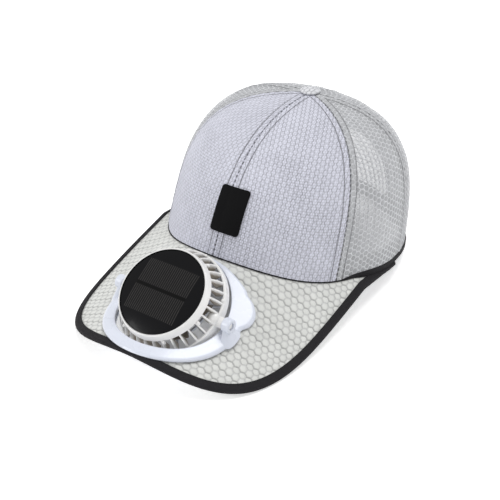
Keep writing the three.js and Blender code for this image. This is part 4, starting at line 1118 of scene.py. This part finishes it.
# %% Binding
def binding(stations=320):
    """Tape over, round and under the edge: a thin U with a rounded nose, as wide as there is room."""
    stops, inward = outline(stations)
    width = tape_width(stops)
    shy, flank = width - 0.15, width * 0.6
    top, under = SEAT + TAPE, -BOARD - SEAT
    nose = np.linspace(np.pi / 2, -np.pi / 2, 9)
    middle, half = (top + under - TAPE) / 2, (top - under + TAPE) / 2
    path = [(shy, top), (flank, top)]
    path += [(half * 0.75 * (1 - np.cos(a)), middle + half * np.sin(a)) for a in nose]
    path += [(flank, under - TAPE), (shy, under - TAPE), (width, under - TAPE / 2), (shy, under),
             (TAPE, under), (TAPE, SEAT), (shy, SEAT), (width, SEAT + TAPE / 2)]
    grid = []
    for inset, rise in path:
        plan = stops + inward * np.broadcast_to(inset, len(width))[:, None]
        grid.append(on_peak(plan[:, 0], plan[:, 1], rise))
    return np.stack(grid, 1), stops, inward, width


binding_sections, stops, inward, width = binding()
tape_piece("binding_tape", binding_sections, "peak_binding")
plan = (stops + inward * (width - 1.1)[:, None])[width > 3.5]
line = on_peak(plan[:, 0], plan[:, 1], SEAT + TAPE)
upright = np.tile([0.0, 0.0, 1.0], (len(line), 1))
build("binding_stitches", [stitches(line, upright, 3.0, 2.2, 0.2)], BLACK_THREAD, "cap")

# %% [markdown]
# ## Fan seat
# The flange is a glossy moulding that follows the arched peak. Its outline is a circle with a lobe at
# each side, cut back where the crown stands behind it. Two posts carry the eyes of the tilt pivot. A
# plain ring under the peak clamps it.

# %% Flange, posts and clamp ring
def ray_to_circle(bearing, cx, cy, radius):
    """Distance along a ray from the seat's centre to the far side of a circle, or 0 where it misses."""
    along = cx * np.cos(bearing) + cy * np.sin(bearing)
    inside = along * along - (cx * cx + cy * cy - radius * radius)
    return np.where(inside > 0, along + np.sqrt(np.maximum(inside, 0)), 0)


def on_seat(radius, bearing, rise):
    """Point at polar coordinates in the seat's plane, laid on the arched peak and raised square to it."""
    y = FAN_Y + radius * np.sin(bearing) * math.cos(SEAT_ANGLE)
    return on_peak(radius * np.cos(bearing), y) + SEAT_NORMAL * np.asarray(rise)[..., None]


RISE, PLATE, CLAMP = 2 * SEAT + TAPE, 2.1, 1.5
FLANGE_R, FLANGE_BACK, CLAMP_R = 52.3, 1.6, 50.0
LOBE_AT, LOBE_BACK, LOBE_R = 40.5, 20.5, 13.8
BACK_EDGE, BACK_R = (FAN_AHEAD - 2.5) / math.cos(SEAT_ANGLE), 108.0


def back_edge(bearing):
    """Shallow arc that keeps the flange off the crown."""
    return ray_to_circle(bearing, 0, BACK_EDGE - BACK_R, BACK_R)


def flange():
    """Grid of rings from the hole to the outline, with its top face rolled down at both edges."""
    bearing = circle(360)
    lobe = ray_to_circle(bearing, LOBE_AT * np.where(np.cos(bearing) < 0, -1, 1), LOBE_BACK, LOBE_R)
    edge = np.minimum(np.maximum(ray_to_circle(bearing, 0, FLANGE_BACK, FLANGE_R), lobe), back_edge(bearing))
    kernel = np.array([1, 2, 3, 2, 1]) / 9
    edge = sum(k * np.roll(edge, s) for k, s in zip(kernel, range(-2, 3)))
    t = 0.5 - 0.5 * np.cos(np.linspace(0, np.pi, 26))[:, None]
    radius = HOLE + (edge - HOLE) * t
    roll = 1.5 * quarter_round(edge - radius, 2.2) + 0.4 * quarter_round(radius - HOLE, 0.6)
    return shell(on_seat(radius, bearing, RISE + PLATE - roll), on_seat(radius, bearing, RISE), ring=True)


NECK, POST_END = 3.2, 9.5  # the eye's inner and outer face, from the hole
EYE_R, EYE_BORE = 5.2, 2.55


def post(side):
    """Flared post under each eye: a squarish oval that widens towards its foot and stops below the bore,
    and the eye itself, a short round-ended tube along the pivot."""
    inner, outer = HOLE + NECK, HOLE + POST_END
    round_about = circle(40)
    section = np.stack([bow(np.cos(round_about), 2.7), bow(np.sin(round_about), 2.7)], -1)
    t = np.linspace(0, 1, 16)
    flare = (1 - t) ** 1.7
    swell = 3.3 * flare - 1.2 * t ** 4
    middle, half_x = (inner + outer + swell) / 2, (outer - inner + swell) / 2
    half_y = 5.1 + 3.2 * flare - 0.7 * t ** 4
    x = side * (middle[:, None] + section[:, 0] * half_x[:, None])
    y = FAN_Y + section[:, 1] * half_y[:, None]
    foot = peak_top(x, y) + RISE + PLATE / 2
    z = foot + (PIVOT_HEIGHT - EYE_BORE - 0.2 - foot) * t[:, None]
    pillar = loft(np.stack([x, y, z], -1))
    tube = rounded([[EYE_BORE, 0], [EYE_R, 0], [EYE_R, outer - inner], [EYE_BORE, outer - inner]],
                   [0.3, 1.2, 2.4, 0.4], 8)
    points, faces = turned(tube, 64)
    eye = np.stack([side * (inner + points[:, 2]), FAN_Y + points[:, 0], PIVOT_HEIGHT + points[:, 1]], -1)
    return [pillar, (eye, faces)]


def clamp():
    """Plain ring under the peak, rounded at its outer edge."""
    bearing = circle(240)
    edge = np.minimum(CLAMP_R, back_edge(bearing))
    radius = HOLE + 1 + (edge - HOLE - 1) * np.linspace(0, 1, 14)[:, None]
    roll = 0.6 * quarter_round(edge - radius, 0.8)
    top = -BOARD - RISE
    return shell(on_seat(radius, bearing, top), on_seat(radius, bearing, top - CLAMP + roll), ring=True)


build("flange_moulding", [flange()] + post(-1) + post(1), WHITE_PLASTIC, "cap",
      ("fan_base_plate",), crease=50)
build("clamp_moulding", [clamp()], WHITE_PLASTIC, "cap", ("fan_clamp_ring",), crease=50)

# %% [markdown]
# ## Fan housing
# One moulding: a bezel that holds the cell, a short skirt, a ring that swings in the flange, and
# thirty-two thin ribs that bow out between the two. Small pegs and the pivot bosses stand on it.

# %% Sizes of the housing
PANEL_R, PANEL_TOP, PANEL_THICK, PROUD = 31.8, 21.2, 3.6, 1.5
BORE = PANEL_R + SEAT
BEZEL_R, SKIRT_R = BORE + 1.2, BORE + 2.6
BEZEL_TOP, PANEL_SEAT = PANEL_TOP - PROUD, PANEL_TOP - PANEL_THICK - SEAT
SKIRT_BOTTOM, DECK_BOTTOM = BEZEL_TOP - 6.0, PANEL_SEAT - 2.2
RING_R, RING_WIDTH, RING_TOP, RING_BOTTOM = HOLE - 1.1, 1.8, 3.8, 3.4
SKIRT_WALL, RIBS = 1.7, 32
WALL_TOP, WALL_FOOT = SKIRT_R - 0.45, RING_R - 0.6  # outer edge of the ribs at the skirt and at the ring


# %% Bezel, ring, ribs, bosses and pegs
def housing_head():
    """Bezel, deck and skirt in one turned outline."""
    corners = [[BORE, PANEL_SEAT], [BORE, BEZEL_TOP], [BEZEL_R, BEZEL_TOP], [SKIRT_R, SKIRT_BOTTOM],
               [SKIRT_R - SKIRT_WALL, SKIRT_BOTTOM], [BORE - 1.2, DECK_BOTTOM]]
    return lathed(corners, [0.2, 0.25, 0.5, 0.4, 0.3, 0.8], 5, 192)


def housing_ring():
    """Ring with a rounded crest."""
    corners = [[RING_R - RING_WIDTH, -RING_BOTTOM], [RING_R, -RING_BOTTOM], [RING_R, RING_TOP - 0.6],
               [RING_R - 0.6, RING_TOP], [RING_R - RING_WIDTH, RING_TOP]]
    return turned(rounded(corners, [0.3, 0.3, 0.5, 0.5, 0.3], 5), 192)


def ribs():
    """Rounded plate carried along a bowed line from the skirt down to the ring, and spun. It reaches
    inwards to one radius all the way, so it is deepest at the ring."""
    t = np.linspace(0, 1, 11)[:, None]
    high, low = SKIRT_BOTTOM + 0.75, RING_TOP - 1.5
    edge = WALL_TOP + (WALL_FOOT - WALL_TOP) * t + 1.1 * 4 * t * (1 - t)
    deep = edge - (SKIRT_R - 2.0)
    section = rounded([[0, -1], [0, 1], [1, 1], [1, -1]], 0.4, 4)
    taper = 0.65 + 0.20 * t
    grid = np.broadcast_arrays(edge - section[:, 0] * deep, section[:, 1] * taper, high + (low - high) * t)
    return spun(loft(np.stack(grid, -1)), circle(RIBS) + np.pi / RIBS)


def knob(radius, height, segments=40):
    """Round-topped peg that stands on zero."""
    t = np.linspace(0, np.pi / 2, 8)
    cap = np.stack([radius * np.cos(t), height - radius * 0.7 + radius * 0.7 * np.sin(t)], -1)
    return turned(np.concatenate([[[0, 0], [radius, 0]], cap]), segments)


def bosses():
    """Pivot pins and the round bosses behind them, along X, with a knob on top of each boss."""
    parts = []
    for side in (-1, 1):
        for radius, start, stop in ((4.0, RING_R - 3.4, HOLE + NECK - 0.3), (2.2, RING_R - 1, HOLE + POST_END - 1.2)):
            corners = [[0, 0], [radius, 0], [radius, stop - start], [0, stop - start]]
            points, faces = turned(rounded(corners, [0, 0.3, 0.7, 0], 5), 48)
            parts.append((np.stack([side * (start + points[:, 2]), points[:, 0], points[:, 1]], -1), faces))
        points, faces = knob(4.7, 7.2)
        parts.append((points + [side * (RING_R - 3.6), 0, RING_TOP - 3.8], faces))
    return parts


def pegs():
    """Small round pegs under the skirt and on the ring."""
    points, faces = knob(1.25, 2.4, 24)
    ball = (points + [SKIRT_R + 0.6, 0, SKIRT_BOTTOM - 2.2], faces)
    low = (points * [0.9, 0.9, 0.9] + [RING_R - 1.1, 0, RING_TOP - 0.4], faces)
    return [spun(ball, np.radians([-60, -15, 60, 120, 165, -120])), spun(low, np.radians([-105, -80, 20, 80, 160]))]


def shade_inside_wall(points):
    """Share of painted shade: 1 on faces behind the sloping line of the wall, and 0 on its outside."""
    slope = np.clip((SKIRT_BOTTOM - points[:, 2]) / (SKIRT_BOTTOM - RING_TOP + 1.5), 0, 1)
    wall = WALL_TOP + (WALL_FOOT - WALL_TOP) * slope
    return ease(wall - np.hypot(points[:, 0], points[:, 1]), 0.6, 1.8) * (points[:, 2] < SKIRT_BOTTOM + 2.5)


parts = [housing_head(), housing_ring(), ribs()] + pegs()
clean = bosses()
# Painted shade per point: the wall's inner faces darken, and the bosses get none.
inside_shade = np.concatenate([shade_inside_wall(part[0]) for part in parts] + [np.zeros(len(part[0])) for part in clean])
build("housing_moulding", parts + clean, RIM_PLASTIC, "fan_pod", ("fan_housing",),
      extra={"inside": inside_shade}, crease=45)

# %% [markdown]
# ## Cell, motor, impeller and outlet
# The cell stands a little proud of its bezel, with a soft edge that catches the light. Below hang the
# motor and a seven-bladed impeller, and a plain grille closes the underside.

# %% Solar panel
PANEL_FOOT = PANEL_TOP - PANEL_THICK
cell_edge = rounded([[PANEL_R, PANEL_FOOT], [PANEL_R, PANEL_TOP]], [0.3, 1.5], 7)
cell = turned(np.concatenate([[[0, PANEL_FOOT]], cell_edge, [[PANEL_R * 0.7, PANEL_TOP], [0, PANEL_TOP]]]), 192)
cell_uv = cell[0][:, :2] / 1000
build("cell_resin", [cell], SOLAR, "fan_pod", ("solar_panel",), cell_uv, crease=50)


# %% Motor and impeller
MOTOR_R, MOTOR_TALL, SOCKET_R, SOCKET_DEEP = 9.5, 10.0, 1.4, 4
MOTOR_TOP = DECK_BOTTOM - SEAT
MOTOR_BOTTOM = MOTOR_TOP - MOTOR_TALL
motor = lathed([[SOCKET_R, MOTOR_BOTTOM + SOCKET_DEEP], [SOCKET_R, MOTOR_BOTTOM], [3.2, MOTOR_BOTTOM],
                [3.2, MOTOR_BOTTOM + 0.5], [MOTOR_R, MOTOR_BOTTOM + 0.5], [MOTOR_R, MOTOR_TOP]],
               [0, 0.2, 0.3, 0.2, 1.0, 0.6], 4, 96)
build("motor_can", [motor], MOTOR_METAL, "fan_pod", ("motor",), crease=40)

OUTLET_THICK, HUB_GAP, HUB_TALL, SHAFT_R, BLADES, SPOKES = 1.8, 0.9, 10, 1.1, 7, 10
OUTLET_TOP = OUTLET_THICK - RING_BOTTOM
HUB_BOTTOM = OUTLET_TOP + HUB_GAP
HUB_BORE = MOTOR_R + HUB_GAP
HUB_R = HUB_BORE + 1.4


def blade():
    """Thin twisted plate from the hub to the tip: its leading edge is high, its trailing edge low, and
    its corners are drawn in."""
    u, v = np.meshgrid(np.linspace(0, 1, 22), np.linspace(0, 1, 18), indexing="ij")
    tip = SKIRT_R - SKIRT_WALL - 1.1
    radius = HUB_R - 0.7 + (tip - HUB_R + 0.7) * u
    v_in = 0.5 + (v - 0.5) * (1 - 0.18 * u ** 6)
    sweep = (v_in - 0.5) * (14 / (radius * 0.6 + tip * 0.4)) + 0.10 * u
    height = HUB_BOTTOM + 1.2 + 8 * (1 - v_in) + 0.8 * np.sin(np.pi * v_in)
    thick = 0.6 * np.sqrt(np.maximum(1 - (2 * v - 1) ** 4, 0.04))
    face = lambda side: np.stack([radius * np.cos(sweep), radius * np.sin(sweep), height + side * thick], -1)
    return spun(shell(face(1), face(-1)), circle(BLADES))


floor_top, hub_top, shaft_top = HUB_BOTTOM + 1.5, HUB_BOTTOM + HUB_TALL, MOTOR_BOTTOM + SOCKET_DEEP - 0.3
hub = lathed([[HUB_R, HUB_BOTTOM], [HUB_R, hub_top], [HUB_BORE, hub_top], [HUB_BORE, floor_top],
              [SHAFT_R, floor_top], [SHAFT_R, shaft_top]], [1.4, 0.4, 0.4, 0.4, 0.3, 0.2], 4, 96)
build("impeller_moulding", [hub, blade()], GREY_PLASTIC, "rotor", ("impeller",), crease=45)


# %% Outlet grille
def outlet():
    """Hub, two rings and ten spokes with rounded edges, inside the foot of the ring."""
    low = OUTLET_TOP - OUTLET_THICK
    outer = RING_R - 2.3
    bar = lambda a, b: rounded([[a, low], [b, low], [b, OUTLET_TOP], [a, OUTLET_TOP]], 0.35, 4)
    disc = lathed([[11, low], [11, OUTLET_TOP]], 0.5, 4, 72)
    spoke = np.broadcast_arrays(np.linspace(9, outer - 0.9, 9)[:, None], *bar(-0.8, 0.8).T)
    spokes = spun(loft(np.stack(spoke, -1)), circle(SPOKES) + np.pi / SPOKES)
    return [disc, turned(bar(outer - 1.8, outer)), turned(bar(25, 26.6)), spokes]


build("outlet_moulding", outlet(), WHITE_PLASTIC, "fan_pod", ("outlet_grille",), crease=45)

# %% [markdown]
# ## Studio and camera
# A pale floor and large soft lights, as for a product photograph. The camera stands at the angle that
# the photograph was taken from, worked out from the outline of the hat.

# %% Floor, lights and world
def studio():
    """Floor at the resting plane, glowing white round the hat as painted light that whitens the hat's shadow there, a
    key light, a top light and an even sky.
    """
    floor = bpy.data.meshes.new("floor")
    floor.from_pydata([(-6, -6, -0.0004), (6, -6, -0.0004), (6, 6, -0.0004), (-6, 6, -0.0004)], [], [(0, 1, 2, 3)])
    piece = bpy.data.objects.new("floor", floor)
    bpy.context.scene.collection.objects.link(piece)
    pale, tree, shader = begin("pale floor", **{
        "Roughness": 0.9, "Base Color": (0.95, 0.95, 0.95, 1), "Emission Strength": 0.47})
    # The glow is painted light: it whitens the floor and the hat's shadow round the hat, and fades to none under the
    # hat.
    place = add(tree, "ShaderNodeTexCoord").outputs["Object"]
    across = vectors(tree, "MULTIPLY", place, (1 / 0.085, 1 / 0.128, 0.0))
    away = step_between(tree, maths(tree, "SQRT", vectors(tree, "DOT_PRODUCT", across, across)), 0.78, 1.02)
    tree.links.new(blend(tree, away, grey(0.0), grey(1.0)), shader.inputs["Emission Color"])
    floor.materials.append(pale)
    world = bpy.data.worlds.new("studio")
    world.use_nodes = True
    world.node_tree.nodes["Background"].inputs[0].default_value = (1, 1, 1, 1)
    world.node_tree.nodes["Background"].inputs[1].default_value = 0.56
    bpy.context.scene.world = world
    for name, power, size, place in (("key", 19, 1.0, (-1.7, -1.9, 1.5)), ("top", 26, 1.2, (0.2, 0.7, 2.2))):
        light = bpy.data.lights.new(name, "AREA")
        light.energy, light.size = power, size
        lamp = bpy.data.objects.new(name, light)
        bpy.context.scene.collection.objects.link(lamp)
        lamp.location = place
        aim = np.array([0, 0, 0.05]) - np.array(place)
        lamp.rotation_euler = (math.atan2(math.hypot(aim[0], aim[1]), -aim[2]), 0, math.atan2(-aim[0], aim[1]))
    bpy.context.scene.view_settings.view_transform = "Standard"


studio()


# %% Camera
DISTANCE, FOCAL = 874.185, 1.329  # millimetres, and in picture widths
PICTURE, CENTRE_X, CENTRE_Y = 500, 262.481, 211.821  # width of the picture and its middle, in its own dots


def photo_camera():
    """Camera in the worn cap's frame: round to the left of the front, above it, and rolled a little."""
    around, above, roll = np.radians([36.036, 27.691, 0.232])
    right = np.array([math.cos(around), math.sin(around), 0])
    back = np.array([math.sin(around) * math.cos(above), -math.cos(around) * math.cos(above), math.sin(above)])
    up = np.cross(back, right)
    right, up = math.cos(roll) * right + math.sin(roll) * up, math.cos(roll) * up - math.sin(roll) * right
    place = worn(np.array([0, -30.0, 60.0]) + back * DISTANCE)
    axes = turn_x(np.stack([right, up, back]), LEAN).T
    data = bpy.data.cameras.new("photo")
    data.sensor_width, data.lens = 36.0, 36.0 * DISTANCE * FOCAL / PICTURE
    data.shift_x, data.shift_y = 0.5 - CENTRE_X / PICTURE, CENTRE_Y / PICTURE - 0.5
    camera = bpy.data.objects.new("photo", data)
    bpy.context.scene.collection.objects.link(camera)
    matrix = np.eye(4)
    matrix[:3, :3], matrix[:3, 3] = axes, place
    camera.matrix_world = Matrix(matrix.tolist())
    bpy.context.scene.camera = camera
    print("camera at", np.round(place, 3), "lens", round(data.lens, 2))


photo_camera()
